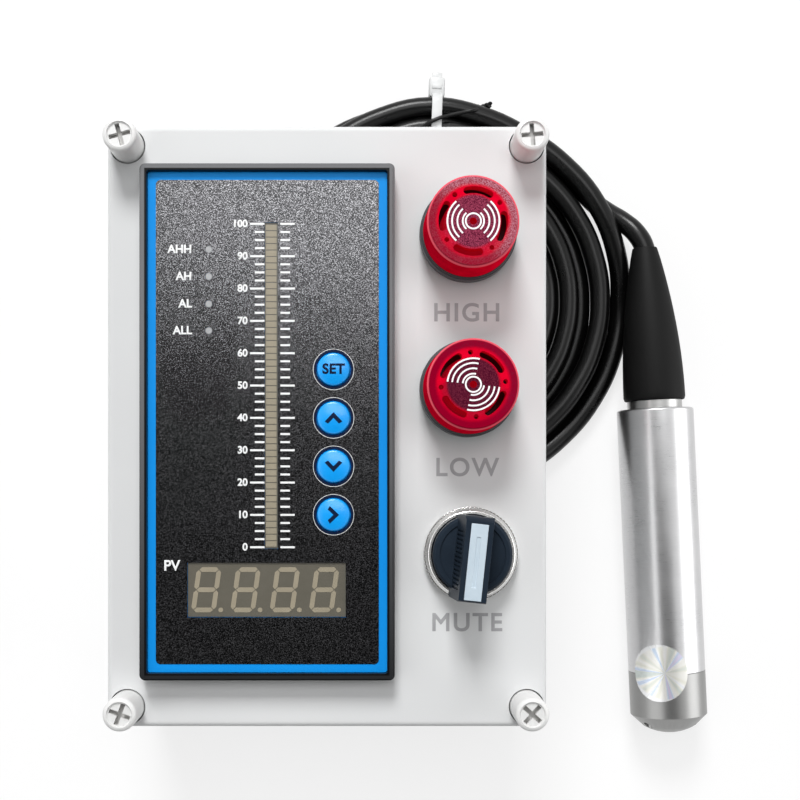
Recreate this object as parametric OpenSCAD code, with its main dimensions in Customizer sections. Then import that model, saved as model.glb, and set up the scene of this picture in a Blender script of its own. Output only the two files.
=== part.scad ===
// Wall-box level controller with its submersible pressure probe on a vented cable.
// The set is drawn as it lies on a table: the box on its back on top of the coiled cable
// and the probe beside it. X runs to the right, Y up the front panel, Z out of it.

/* [Box] */
// Width of the box
box_w = 140; // [138:1:146]
// Length of the box
box_l = 191.5; // [188:0.5:200]
// Depth of the base tray
base_h = 45; // [44:1:55]
// Depth of the cover
cover_h = 25; // [23:1:30]
// Wall thickness of the base and the cover
wall = 3; // [2.8:0.1:3.4]
// Radius of the upright corners
corner_r = 7; // [6:0.5:8]
// Radius of the cover's front edges
edge_r = 1.6; // [1:0.2:2.4]
// Distance of the cover screws from the sides of the box
screw_inset = 6.4; // [6:0.1:7]
// How far the cover screws stand out of the cover
screw_stand = 14.5; // [6:0.5:15]

/* [Meter] */
// Width of the meter's bezel
bezel_w = 80; // [80:1:82]
// Length of the meter's bezel
bezel_l = 162; // [160:1:164]
// How far the bezel stands out of the cover
bezel_h = 8; // [7.5:0.5:9]
// How far the meter's middle lies to the left of the middle of the box
meter_left = 18.6; // [18:0.1:19]
// How far the meter's middle lies above the middle of the box
meter_up = 1.1; // [0:0.1:2]
// Width of the panel cut-out behind the bezel
cutout_w = 76; // [75.8:0.1:76.4]
// Length of the panel cut-out behind the bezel
cutout_l = 152; // [151.8:0.1:152.4]
// Depth of the meter's case behind the panel
case_depth = 46; // [40:1:48]
// Diameter of a key
key_d = 10.4; // [10:0.1:10.8]
// Distance between keys
key_pitch = 15.2; // [14.8:0.1:15.6]
// How far a key travels
key_travel = 0.5; // [0.3:0.1:0.5]

/* [Panel devices] */
// Distance of the right-hand column of devices from the middle of the box
column_x = 44.5; // [43:0.5:46]
// Diameter of the panel holes for the alarms and the selector
device_hole_d = 22.4; // [22.2:0.1:22.8]
// Height of an alarm head above the cover
alarm_h = 24; // [22:1:26]
// Diameter of an alarm's base
alarm_d = 30.4; // [30:0.2:32]
// Diameter of the selector's knurled ring
ring_d = 30; // [29:0.5:31]
// Height of the selector's handle above the cover
handle_h = 23.5; // [20:0.5:24]
// Angle of the selector's handle at rest, from upright
handle_angle = -6; // [-12:1:12]

/* [Probe] */
// Diameter of the probe's tube
probe_d = 28; // [27:1:30]
// Length of the probe from the taper of its nose to the top of the tube
probe_l = 113.5; // [105:0.5:120]
// Length of the rubber boot
boot_l = 57; // [55:1:62]
// Tilt of the probe on the table
probe_tilt = 2.6; // [0:0.1:4]

/* [Cable] */
// Diameter of the cable
cable_d = 7.5; // [7:0.1:7.6]
// Outer radius of the coil
coil_r = 76.5; // [75:0.5:77]
// Turns of cable side by side in a layer of the coil
coil_turns = 4; // [3:1:4]

/* [Hidden] */
$fn = 64;

// Set: the box and the probe fill this rectangle, which is centred on the origin
set_w = 209.8;
set_l = 206.75;
coil_h = 2 * cable_d;
box_at = [box_w / 2 - set_w / 2, set_l / 2 - box_l / 2, coil_h];
box_h = base_h + cover_h;

// Box
post_r = 9.6;
tongue_t = wall / 2;
tongue_h = 2.4;
gasket_h = 1.6;
screw_x = box_w / 2 - screw_inset;
screw_y = box_l / 2 - screw_inset;
screw_head_d = 10.6;
screw_well = 9;
screw_shank_d = 5;
screw_rim = 1.3;
dish_depth = 0.7;
cross_size = [6.8, 1.4];
cross_depth = 3.4;
screw_reach = 30;
wall_hole_r = 2.25;
wall_hole = [58, 75];
grommet_x = [-20, 12];
grommet_z = 22;
grommet_bore_r = 3.85;
grommet_hole_r = 6;
grommet_lip = 1.4;
boss_h = 6;
boss_x = 27;
boss_d = 8;
peg_d = 3;
strip_at = [12, -74];
strip_size = [62, 14, 12];
strip_ways = 6;
strip_pitch = 7.6;
clamp_r = 1.9;

// Meter, from the panel's face upwards
meter_at = [-meter_left, meter_up];
plate_t = 1.4;
film_t = 0.2;
film_z = 6;
plate_z = film_z - film_t - plate_t;
frame_t = 2.3;
film_size = [70, 152];
case_gap = 0.25;
case_wall = 2;
board_t = 1.6;
board_z = -3.7;
relay_board_z = -34;
bar_x = 1.2;
bar_low = -39.3;
bar_high = 62.2;
bar_w = 4.1;
bar_count = 50;
digits_at = [-0.2, -52.7];
digits_size = [49.6, 17];
digit_pitch = 12.35;
digit_size = [7.8, 14.2];
stroke = 1.5;
slant = 8;
led_x = -18.4;
led_y = [54.2, 45.7, 37.1, 28.7];
led_r = 1.05;
key_x = 20.8;
key_top_y = 16.5;
key_gap = 0.3;
key_flange_r = 6.3;
switch_h = 4.1;
terminal_rows = [-58, 58];
terminal_size = [66, 11, 9];
terminal_ways = 10;
terminal_pitch = 6.2;

// Panel devices, from the panel's face upwards
high_at = [column_x, 60.6];
low_at = [column_x, 11.6];
selector_at = [column_x + 1.1, -40.5];
barrel_r = 11;
nut_h = 5;
seal_h = 1;
lens_z = 8;
lens_top_t = 5;
lens_wall = 1.6;
lens_r = 14.3;
lens_draft = 0.4;
slot_r = 9.4;
slot_w = 2.1;
slot_arc = 44;
hole_r = 0.75;
mark_h = 0.15;
mark_w = 0.5;
mark_radii = [3.2, 4.8, 6.4, 7.8];
mark_arc = 98;
sounder_z = 2;
sounder_r = 9;
sounder_h = 8.6;
sound_hole_r = 1.5;
barrel_depth = 26;
post_spread = 5;
shaft_r = 5;
running_gap = 0.05;
knob_r = 12.4;
knob_z = 3.4;
knob_disc_h = 6.8;
handle_w = 8.4;
knob_dish_r = 10.3;
handle_low = -13.7;
handle_high = 12.2;
handle_flank = 2.1;
insert_size = [5.2, 23.2];
insert_at = -1.4;
insert_t = 1.6;
rib_count = 14;
rib_pitch = 1.35;
knurls = 72;
knurl_h = 3.4;
bead_z = 4;
bead_h = 1.6;
contacts_size = [28, 24, 26];
contacts_z = -50;

// Probe, from the taper of the nose upwards along its axis
probe_r = probe_d / 2;
probe_at = [set_w / 2 - probe_r * cos(probe_tilt), 7 - set_l / 2, probe_r];
taper_h = 4.3;
tip_r = 9.6;
dome_h = 2.7;
dome_r = (tip_r * tip_r + dome_h * dome_h) / (2 * dome_h);
seam_z = 16.2;
inlet_r = 1.5;
inlet_at = 10.2;
sensor_z = 11;
tube_t = 1.5;
neck_r = 10;
neck_h = 3.2;
boot_z = probe_l + neck_h;
boot_tip_r = 4.5;
boot_belly_r = 11.3;
stub_h = 18;

// Cable
cable_r = cable_d / 2;
coil_at = [1.8, 57.8, 0];
coil_pitch = 9.6;
coil_in_r = coil_r - cable_d - coil_pitch * (coil_turns - 1);
tie_angle = 88;
tie_w = 3.8;
tie_t = 1.2;
tie_head = [6, 7.6, 5];
tie_stub = 1.8;
twist_angle = 76;
twist_w = 2;
twist_t = 0.8;
bundle_w = 4 * cable_d + 0.5;
// Routes are drawn from the middle of the coil.
// The lead rises out of the boot's bore and dives under the coil
lead_route = [
    [82.1, -1.2, 14], [81.1, 19.3, 14], [79.2, 24.8, 13.2], [75.1, 29.8, 11.5],
    [69.3, 34.4, 9], [62.6, 38.9, 6], [57, 44.5, 4.4], [49.5, 51.2, 4.2]
];
// The tail leaves the coil behind the box and lies on the table
tail_route = [
    [-69, 0, 11], [-69.7, -14.2, 10.5], [-68.7, -32.2, 8], [-66.7, -50.2, 5],
    [-64.2, -68.2, 4], [-61.2, -85.2, 3.8], [-57.2, -101.2, 3.8], [-53.2, -114.2, 3.8]
];
core_r = 1;
core_routes = [
    [[-54.8, -114.7, 3], [-54.2, -121.2, 2.6], [-55.6, -129.2, 1.6], [-55.2, -139.2, 1.1]],
    [[-53.2, -114.2, 5.4], [-50.8, -121.2, 4.8], [-47.2, -129.2, 2.6], [-41.2, -136.2, 1.1]],
    [[-51.6, -113.7, 3], [-50, -120.2, 2], [-49.2, -128.2, 1.2], [-48.2, -139.2, 1.1]]
];

// Placing
module at_box() translate(box_at) children();
module at_panel(x, y) at_box() translate([x, y, box_h]) children();
module at_meter() at_panel(meter_at.x, meter_at.y) children();
module at_probe() translate(probe_at) rotate([0, 0, probe_tilt]) rotate([-90, 0, 0]) children();
module up(z) translate([0, 0, z]) children();
module at_corners(x, y) {
    for (sx = [-1, 1], sy = [-1, 1]) translate([sx * x, sy * y, 0]) children();
}
module across_bundle(angle) {
    translate(coil_at) rotate([0, 0, angle - 90]) children();
}

// Shared shapes
module block(size, z0, h) translate([-size.x / 2, -size.y / 2, z0]) cube([size.x, size.y, h]);

module rounded_plate(size, r, h) {
    linear_extrude(h) {
        square([size.x - 2 * r, size.y], center = true);
        square([size.x, size.y - 2 * r], center = true);
        at_corners(size.x / 2 - r, size.y / 2 - r) circle(r);
    }
}

module tube(r_out, r_in, h) {
    difference() {
        cylinder(r = r_out, h = h);
        up(-1) cylinder(r = r_in, h = h + 2);
    }
}

// Half-round ended slot that follows a circle about Z
module arc_slot(r, w, arc, h) {
    rotate([0, 0, -arc / 2]) rotate_extrude(angle = arc) translate([r - w / 2, 0]) square([w, h]);
    for (a = [-arc / 2, arc / 2]) rotate([0, 0, a]) translate([r, 0, 0]) cylinder(d = w, h = h);
}

// Space inside the walls, which steps round the corner posts
module bay(inset, post, h) {
    difference() {
        block([box_w - 2 * inset, box_l - 2 * inset], 0, h);
        at_corners(screw_x, screw_y) up(-1) cylinder(r = post, h = h + 2);
    }
}

// Block whose four front edges are rounded
module soft_block(w, l, h, r) {
    intersection() {
        rounded_plate([w, l], corner_r, h);
        rotate([90, 0, 0]) up(-l) linear_extrude(2 * l) front_profile(w, h, r);
        rotate([90, 0, 90]) up(-w) linear_extrude(2 * w) front_profile(l, h, r);
    }
}

module front_profile(w, h, r) {
    translate([-w / 2, -1]) square([w, h + 1 - r]);
    translate([r - w / 2, -1]) square([w - 2 * r, h + 1]);
    for (s = [-1, 1]) translate([s * (w / 2 - r), h - r]) circle(r);
}

// Box
module enclosure_base() {
    color("gainsboro") at_box() difference() {
        union() {
            difference() {
                rounded_plate([box_w, box_l], corner_r, base_h);
                up(wall) bay(wall, post_r, base_h);
            }
            up(base_h) difference() {
                bay(tongue_t, post_r - tongue_t, tongue_h);
                up(-1) bay(wall, post_r, tongue_h + 2);
            }
            base_ribs();
            // Bosses with the pegs that hold the terminal strip
            at_strip() for (s = [-1, 1]) translate([s * boss_x, 0, wall - 1]) {
                cylinder(d = boss_d, h = boss_h + 1);
                cylinder(d = peg_d, h = boss_h + 6.5);
            }
        }
        at_corners(screw_x, screw_y) up(base_h - screw_reach) {
            cylinder(d = screw_shank_d + 0.1, h = screw_reach + tongue_h + 1);
        }
        at_corners(wall_hole.x, wall_hole.y) up(-1) cylinder(r = wall_hole_r, h = wall + 2);
        for (x = grommet_x) at_grommet(x) up(-1) cylinder(r = grommet_hole_r, h = wall + 2);
    }
}

// Upright stiffening ribs on the inside of the base's walls
module base_ribs() {
    rib = [2, 2.5, base_h - 6];
    for (s = [-1, 1], y = [-45, 0, 45]) {
        translate([s * (box_w / 2 - wall) - (s + 1) / 2 * rib.y, y - rib.x / 2, wall]) {
            cube([rib.y, rib.x, rib.z]);
        }
    }
    for (x = [-40, 40]) {
        translate([x - rib.x / 2, box_l / 2 - wall - rib.y, wall]) cube(rib);
    }
}

module at_strip() translate([strip_at.x, strip_at.y, 0]) children();
module at_grommet(x) translate([x, wall - box_l / 2, grommet_z]) rotate([90, 0, 0]) children();

module enclosure_cover() {
    color("whitesmoke") at_box() up(base_h) difference() {
        soft_block(box_w, box_l, cover_h, edge_r);
        up(-1) bay(wall, post_r, cover_h - wall + 1);
        up(-1) difference() {
            bay(tongue_t - 0.1, post_r - tongue_t - 0.1, tongue_h + gasket_h + 1);
            up(-1) bay(wall, post_r, tongue_h + gasket_h + 3);
        }
        at_corners(screw_x, screw_y) {
            up(-1) cylinder(d = screw_shank_d + 0.8, h = cover_h + 2);
            up(cover_h - screw_well) cylinder(d = screw_head_d + 0.8, h = screw_well + 1);
        }
        translate([meter_at.x, meter_at.y, cover_h - wall - 1]) {
            block([cutout_w, cutout_l], 0, wall + 2);
        }
        for (at = [high_at, low_at, selector_at]) translate([at.x, at.y, cover_h - wall - 1]) {
            cylinder(d = device_hole_d, h = wall + 2);
        }
    }
}

module cover_gasket() {
    color("dimgray") at_box() up(base_h + tongue_h) difference() {
        bay(tongue_t, post_r - tongue_t, gasket_h);
        up(-1) bay(wall, post_r, gasket_h + 2);
    }
}

// Plastic screws with long round heads and a cross recess in a shallow dish
module cover_screws() {
    turn = [15, 38, -20, -42];
    spots = [[-1, 1], [1, 1], [-1, -1], [1, -1]];
    color("white") at_box() for (i = [0:3]) {
        translate([spots[i].x * screw_x, spots[i].y * screw_y, box_h]) {
            rotate([0, 0, turn[i]]) cover_screw();
        }
    }
}

module cover_screw() {
    head_r = screw_head_d / 2;
    shank_r = screw_shank_d / 2;
    tip_z = base_h - box_h - screw_reach + 2;
    dish_r = head_r - screw_rim;
    difference() {
        rotate_extrude() polygon(concat(
            [
                [0, tip_z], [shank_r - 0.6, tip_z], [shank_r, tip_z + 0.6],
                [shank_r, -screw_well], [head_r, -screw_well]
            ],
            // Rounded rim
            [for (a = [0:22.5:90]) [dish_r + screw_rim * cos(a), screw_stand - screw_rim * (1 - sin(a))]],
            [[dish_r - 0.4, screw_stand - dish_depth], [0, screw_stand - dish_depth]]
        ));
        for (a = [0, 90]) rotate([0, 0, a]) {
            block(cross_size, screw_stand - cross_depth, cross_depth + 1);
        }
    }
}

// Rubber cable inlets, snapped into the bottom wall
module cable_grommets() {
    color("dimgray") at_box() for (x = grommet_x) at_grommet(x) difference() {
        union() {
            cylinder(r = grommet_hole_r - 0.1, h = wall);
            up(wall) cylinder(r1 = grommet_hole_r + 2, r2 = grommet_hole_r + 1.2, h = grommet_lip + 0.4);
            up(-grommet_lip - 0.2) cylinder(r = grommet_hole_r + grommet_lip, h = grommet_lip + 0.2);
        }
        up(-wall) cylinder(r = grommet_bore_r, h = 3 * wall);
    }
}

// Terminal strip for the supply and the probe, on two bosses of the base
module wiring_strip() {
    color("ivory") at_box() at_strip() up(wall + boss_h) difference() {
        union() {
            block([strip_size.x, strip_size.y], 0, 5);
            block([strip_size.x - 14, 9], 0, strip_size.z);
        }
        for (i = [0:strip_ways - 1]) translate([strip_way_x(i), 0, 0]) {
            translate([-2, -5, 3]) cube([4, 10, 3.6]);
            up(6) cylinder(r = clamp_r + 0.2, h = 7);
        }
        for (s = [-1, 1]) translate([s * boss_x, 0, -1]) cylinder(d = peg_d + 0.1, h = 8);
    }
}

function strip_way_x(i) = (i - (strip_ways - 1) / 2) * strip_pitch;
function terminal_x(i) = (i - (terminal_ways - 1) / 2) * terminal_pitch;

module terminal_screws() {
    color("silver") {
        at_box() at_strip() for (i = [0:strip_ways - 1]) {
            translate([strip_way_x(i), 0, wall + boss_h + 6.4]) slotted_screw(clamp_r);
        }
        at_meter() for (y = terminal_rows, i = [0:terminal_ways - 1]) {
            translate([terminal_x(i), y, -case_depth - 4]) rotate([180, 0, 0]) slotted_screw(clamp_r);
        }
    }
}

module slotted_screw(r) {
    difference() {
        cylinder(r = r, h = 3);
        block([0.8, 2 * r + 1], 2.2, 2);
    }
}

// Meter
module meter_bezel() {
    color("black") at_meter() difference() {
        intersection() {
            rounded_plate([bezel_w, bezel_l], 1.8, bezel_h);
            union() {
                block([bezel_w, bezel_l], 0, bezel_h - 1);
                block([bezel_w - 1.4, bezel_l - 1.4], 0, bezel_h);
            }
        }
        up(-1) block([cutout_w - 0.1, cutout_l - 0.1], 0, 4);
        up(2) block([69, 146], 0, bezel_h);
        up(plate_z) rounded_plate([bezel_w - 2 * frame_t, bezel_l - 2 * frame_t], 0.9, bezel_h);
    }
}

module plate_windows(h) {
    translate([bar_x, (bar_low + bar_high) / 2, 0]) {
        block([bar_w + 0.2, bar_high - bar_low + 1], -1, h);
    }
    translate([digits_at.x, digits_at.y, 0]) block([digits_size.x + 0.2, digits_size.y + 0.2], -1, h);
    for (y = led_y) translate([led_x, y, -1]) cylinder(r = led_r + 0.1, h = h);
    for (i = [0:3]) translate([key_x, key_y(i), -1]) cylinder(r = key_d / 2 + key_gap, h = h);
}

function key_y(i) = key_top_y - i * key_pitch;

module meter_front_plate() {
    size = [bezel_w - 2 * frame_t - 0.2, bezel_l - 2 * frame_t - 0.2];
    color("dodgerblue") at_meter() up(plate_z) difference() {
        rounded_plate(size, 0.8, plate_t);
        plate_windows(plate_t + 2);
    }
}

module meter_film() {
    color([0.13, 0.13, 0.14]) at_meter() up(plate_z + plate_t) difference() {
        rounded_plate(film_size, 1.5, film_t);
        plate_windows(film_t + 2);
    }
}

module meter_case() {
    size = [cutout_w - 2 * case_gap, cutout_l - 2 * case_gap];
    inner = [size.x - 2 * case_wall, size.y - 2 * case_wall];
    color([0.2, 0.2, 0.21]) at_meter() difference() {
        block(size, -case_depth, case_depth + 3);
        difference() {
            block(inner, case_wall - case_depth, case_depth + 5);
            // Ribs under the ends of the display board, posts under the relay board
            for (sx = [-1, 1], sy = [-1, 1]) translate([sx * 28, sy * inner.y / 2, 0]) {
                block([8, 6], -case_depth, case_depth + board_z);
                translate([0, -sy * 8, 0]) block([5, 5], -case_depth, case_depth + relay_board_z);
            }
        }
        // Cooling slots through the long sides
        for (s = [-1, 1], i = [-4:4]) translate([s * size.x / 2, i * 12, -26]) {
            block([3 * case_wall, 2.4], 0, 14);
        }
        // Openings for the contacts of the terminal rows
        for (y = terminal_rows) translate([0, y, 0]) block([60, 4], -case_depth - 1, case_wall + 2);
    }
}

module bar_display() {
    color("darkslategray") at_meter() translate([bar_x, (bar_low + bar_high) / 2, 0]) {
        block([bar_w, bar_high - bar_low + 0.8], 0, film_z - 0.6);
        block([8, bar_high - bar_low + 4], board_z + board_t, -board_z - board_t + 4);
    }
}

// One light segment for each two units of the scale
module bar_segments() {
    pitch = (bar_high - bar_low) / bar_count;
    color("tan") at_meter() for (i = [0:bar_count - 1]) {
        translate([bar_x, bar_low + (i + 0.5) * pitch, film_z - 0.6]) block([3.4, pitch - 0.3], 0, 0.1);
    }
}

module digit_display() {
    color("dimgray") at_meter() translate([digits_at.x, digits_at.y, 0]) {
        block(digits_size, 0, film_z - 0.6);
        block([50.2, 19], board_z + board_t, -board_z - board_t + 4);
    }
}

// Leaning seven-segment figures, drawn at mid-height of each digit
module digit_segments() {
    color("wheat") at_meter() for (i = [0:3]) {
        translate([digits_at.x + (i - 1.5) * digit_pitch - 0.5, digits_at.y, film_z - 0.6]) {
            figure_eight(0.1);
        }
    }
}

module figure_eight(h) {
    dx = digit_size.x / 2 - stroke / 2;
    dy = digit_size.y / 2 - stroke / 2;
    for (y = [-dy, 0, dy]) flat_segment([0, y], 2 * dx - 0.3, 0, h);
    for (x = [-dx, dx], y = [-dy / 2, dy / 2]) flat_segment([x, y], dy - 0.3, 90, h);
    translate([dx + 2.3 - dy * tan(slant), -dy, 0]) cylinder(r = 0.75, h = h);
}

module flat_segment(at, len, turn, h) {
    a = len / 2;
    b = stroke / 2;
    outline = [[-a, 0], [b - a, b], [a - b, b], [a, 0], [a - b, -b], [b - a, -b]];
    linear_extrude(h) polygon([for (p = outline) lean(at + turned(p, turn))]);
}

function turned(p, a) = [p.x * cos(a) - p.y * sin(a), p.x * sin(a) + p.y * cos(a)];
function lean(p) = [p.x + p.y * tan(slant), p.y];

module alarm_leds() {
    color("lightgray") at_meter() for (y = led_y) translate([led_x, y, 0]) {
        up(board_z + board_t) cylinder(r = 1.6, h = 3.5);
        up(board_z + board_t) cylinder(r = led_r, h = film_z - board_z - board_t - 0.1);
    }
}

module display_board() {
    color("darkgreen") at_meter() block([69, 145], board_z, board_t);
}

module key_switches() {
    color([0.25, 0.25, 0.25]) at_meter() for (i = [0:3]) {
        translate([key_x, key_y(i), board_z + board_t]) {
            block([6, 6], 0, 3.4);
            cylinder(r = 1.7, h = switch_h);
        }
    }
}

module relay_board() {
    color("darkgreen") at_meter() block([69, 140], relay_board_z, board_t);
}

module relays() {
    color("royalblue") at_meter() for (i = [0:3]) {
        translate([20, -54 + i * 20, relay_board_z + board_t]) difference() {
            rounded_plate([19, 15.4], 1, 15.2);
            translate([0, 0, 15]) block([15, 11.4], 0, 1);
        }
    }
}

// Wound bobbin between the legs of its core
module transformer() {
    color("saddlebrown") at_meter() translate([-16, 30, relay_board_z + board_t]) {
        block([22, 26], 0, 3);
        up(3) block([14, 18], 0, 13);
        up(9) rotate([90, 0, 0]) up(-10) tube(8.5, 5, 20);
        up(16) block([22, 26], 0, 3);
    }
}

module meter_terminals() {
    color("seagreen") at_meter() for (y = terminal_rows) {
        translate([0, y, -case_depth - terminal_size.z]) difference() {
            block(terminal_size, 0, terminal_size.z);
            for (i = [0:terminal_ways - 1]) translate([terminal_x(i), 0, 0]) {
                up(-1) cylinder(r = clamp_r + 0.2, h = 6.2);
                translate([-1.8, 0, 5]) cube([3.6, 8, 2.6]);
            }
        }
    }
}

// Spring-steel brackets that pull the meter back against the panel
module meter_clamps() {
    reach = cutout_l / 2 - case_gap;
    color("silver") at_meter() for (s = [-1, 1]) facing(s) translate([0, reach, 0]) difference() {
        union() {
            translate([-9, 0, -34]) cube([18, 1.2, 30]);
            translate([-9, 0, -18]) cube([18, 9, 2]);
        }
        translate([0, 5, -20]) cylinder(r = 2.05, h = 6);
    }
}

module facing(s) rotate([0, 0, s > 0 ? 0 : 180]) children();

module clamp_screws() {
    reach = cutout_l / 2 - case_gap;
    color("silver") at_meter() for (s = [-1, 1]) facing(s) translate([0, reach + 5, 0]) difference() {
        union() {
            up(-wall - 22) cylinder(r = 2, h = 22);
            up(-wall - 25) cylinder(r = 3.4, h = 3);
        }
        block([1, 8], -wall - 26, 2);
    }
}

// Membrane key cap with a flange that stays behind the plate
module key_cap(i) {
    color("deepskyblue") at_meter() translate([key_x, key_y(i), 0]) rotate_extrude() {
        r = key_d / 2;
        top = film_z + 1;
        low = board_z + board_t + switch_h + key_travel + 0.2;
        polygon([
            [0, low], [2, low], [2, plate_z - 0.9], [key_flange_r, plate_z - 0.9],
            [key_flange_r, plate_z - 0.1], [r, plate_z - 0.1], [r, top - 0.7],
            [r - 0.25, top - 0.25], [r - 0.8, top], [0, top + 0.1]
        ]);
    }
}

// Sounder-beacon heads
module at_high() at_panel(high_at.x, high_at.y) children();
module at_low() at_panel(low_at.x, low_at.y) children();

module alarm_base() {
    color([0.24, 0.25, 0.26]) difference() {
        union() {
            up(seal_h) cylinder(r = alarm_d / 2 - 0.5, h = lens_z - seal_h);
            up(seal_h + 0.6) cylinder(r = alarm_d / 2, h = lens_z - seal_h - 1.6);
            up(seal_h) cylinder(r = lens_r - lens_wall - 0.1, h = lens_z - seal_h + 1.6);
            up(-barrel_depth) cylinder(r = barrel_r, h = barrel_depth + 2);
            // Terminal posts at the back of the barrel
            for (s = [-1, 1]) translate([s * post_spread, 0, -barrel_depth - 5]) cylinder(r = 2.4, h = 6);
        }
        up(2 - barrel_depth) cylinder(r = barrel_r - 2.6, h = 2 * barrel_depth);
        up(sounder_z) cylinder(r = barrel_r - 1.6, h = barrel_depth);
        for (s = [-1, 1]) translate([s * post_spread, 0, -barrel_depth - 6]) cylinder(r = 1.2, h = 5);
    }
}

module alarm_seal() {
    color("dimgray") tube(alarm_d / 2 - 1.4, barrel_r + 0.1, seal_h);
}

module alarm_nut() {
    color([0.2, 0.2, 0.2]) up(-wall - nut_h) difference() {
        union() {
            cylinder(r = 15, h = nut_h - 1.2, $fn = 6);
            up(nut_h - 1.2) cylinder(r = 14.6, h = 1.2);
        }
        up(-1) cylinder(r = barrel_r + 0.05, h = nut_h + 2);
    }
}

// Red cap: slots and sound holes cut through the top, bevelled rim, hollow under the top
module alarm_lens(turn) {
    bevel = 0.8;
    top_r = lens_r - lens_draft;
    color([0.8, 0.05, 0.1, 0.8]) difference() {
        union() {
            up(lens_z) cylinder(r1 = lens_r, r2 = top_r, h = alarm_h - lens_z - bevel);
            up(alarm_h - bevel) cylinder(r1 = top_r, r2 = top_r - bevel, h = bevel);
        }
        up(lens_z - 1) cylinder(r = lens_r - lens_wall, h = alarm_h - lens_z - lens_top_t + 1);
        up(alarm_h - lens_top_t - 1) rotate([0, 0, turn]) {
            cylinder(r = 1.1, h = lens_top_t + 2);
            for (a = [0:90:270]) rotate([0, 0, a]) {
                arc_slot(slot_r, slot_w, slot_arc, lens_top_t + 2);
                rotate([0, 0, 45]) translate([slot_r + 0.3, 0, 0]) cylinder(r = hole_r, h = lens_top_t + 2);
            }
        }
    }
}

// Raised white sound-wave sign: a ring and four arcs on either side of it
module alarm_marks(turn) {
    color("white") up(alarm_h) rotate([0, 0, turn]) {
        tube(2.3 + mark_w / 2, 2.3 - mark_w / 2, mark_h);
        for (side = [0, 180], r = mark_radii) rotate([0, 0, side - mark_arc / 2]) {
            rotate_extrude(angle = mark_arc) translate([r - mark_w / 2, 0]) square([mark_w, mark_h]);
        }
    }
}

// Sounder drum with its sound hole, over the lamp board
module alarm_sounder() {
    color([0.1, 0.1, 0.1]) difference() {
        union() {
            up(sounder_z) cylinder(r = barrel_r - 1.7, h = lens_z - sounder_z);
            up(lens_z) cylinder(r = sounder_r, h = sounder_h - 0.6);
            up(lens_z + sounder_h - 0.6) cylinder(r1 = sounder_r, r2 = sounder_r - 0.6, h = 0.6);
        }
        up(lens_z + sounder_h / 2) cylinder(r = sound_hole_r, h = sounder_h);
    }
}

// Selector switch
module at_selector() at_panel(selector_at.x, selector_at.y) children();

module selector_body() {
    color([0.15, 0.15, 0.16]) at_selector() difference() {
        union() {
            cylinder(r = knob_r, h = 3);
            up(-24) cylinder(r = barrel_r, h = 25);
        }
        up(-25) cylinder(r = shaft_r + running_gap, h = 30);
    }
}

// Chromed ring: a smooth bead above a band of upright knurls
module selector_ring() {
    r = ring_d / 2;
    color("silver") at_selector() difference() {
        union() {
            linear_extrude(knurl_h) polygon([
                for (i = [0:2 * knurls - 1]) let (a = i * 180 / knurls, k = r - 0.35 * (i % 2))
                    [k * cos(a), k * sin(a)]
            ]);
            up(knurl_h) cylinder(r = r - 0.9, h = bead_z - knurl_h);
            up(bead_z) cylinder(r1 = r - 0.5, r2 = r - 1.4, h = bead_h);
        }
        up(-1) cylinder(r = knob_r + 0.3, h = 8);
    }
}

module selector_nut() {
    color("silver") at_selector() up(-wall - nut_h) difference() {
        cylinder(r = 15, h = nut_h, $fn = 6);
        up(-1) cylinder(r = barrel_r + 0.05, h = nut_h + 2);
    }
}

module selector_contacts() {
    color([0.3, 0.55, 0.4]) at_selector() difference() {
        block([contacts_size.x, contacts_size.y], contacts_z, contacts_size.z);
        up(-32) cylinder(r = 7.2, h = 9);
        // Screw clamps on either side
        for (s = [-1, 1], x = [-8, 8]) translate([x, s * 9, contacts_z - 1]) cylinder(r = 2, h = 6);
    }
}

module selector_shaft() {
    color("gray") at_selector() {
        up(-24.5) cylinder(r = shaft_r, h = 30);
        up(-28.5) cylinder(r = 6.5, h = 4);
        translate([0, 0, -31]) block([9, 4], 0, 3);
    }
}

// Knob: a dished disc with a high ribbed handle across it, pointed out past the disc below
module selector_knob() {
    color([0.12, 0.13, 0.15]) at_selector() rotate([0, 0, handle_angle]) difference() {
        union() {
            up(knob_z) cylinder(r = knob_r, h = knob_disc_h - 0.8);
            up(knob_z + knob_disc_h - 0.8) difference() {
                cylinder(r1 = knob_r, r2 = knob_r - 0.8, h = 0.8);
                up(0.3) cylinder(r = knob_dish_r, h = 1);
            }
            handle();
        }
        up(knob_z - 1) cylinder(r = shaft_r + 0.02, h = 3.2);
        translate([0, insert_at, handle_h - insert_t]) {
            block([insert_size.x + 0.1, insert_size.y + 0.1], 0, insert_t + 1);
        }
    }
}

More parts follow.
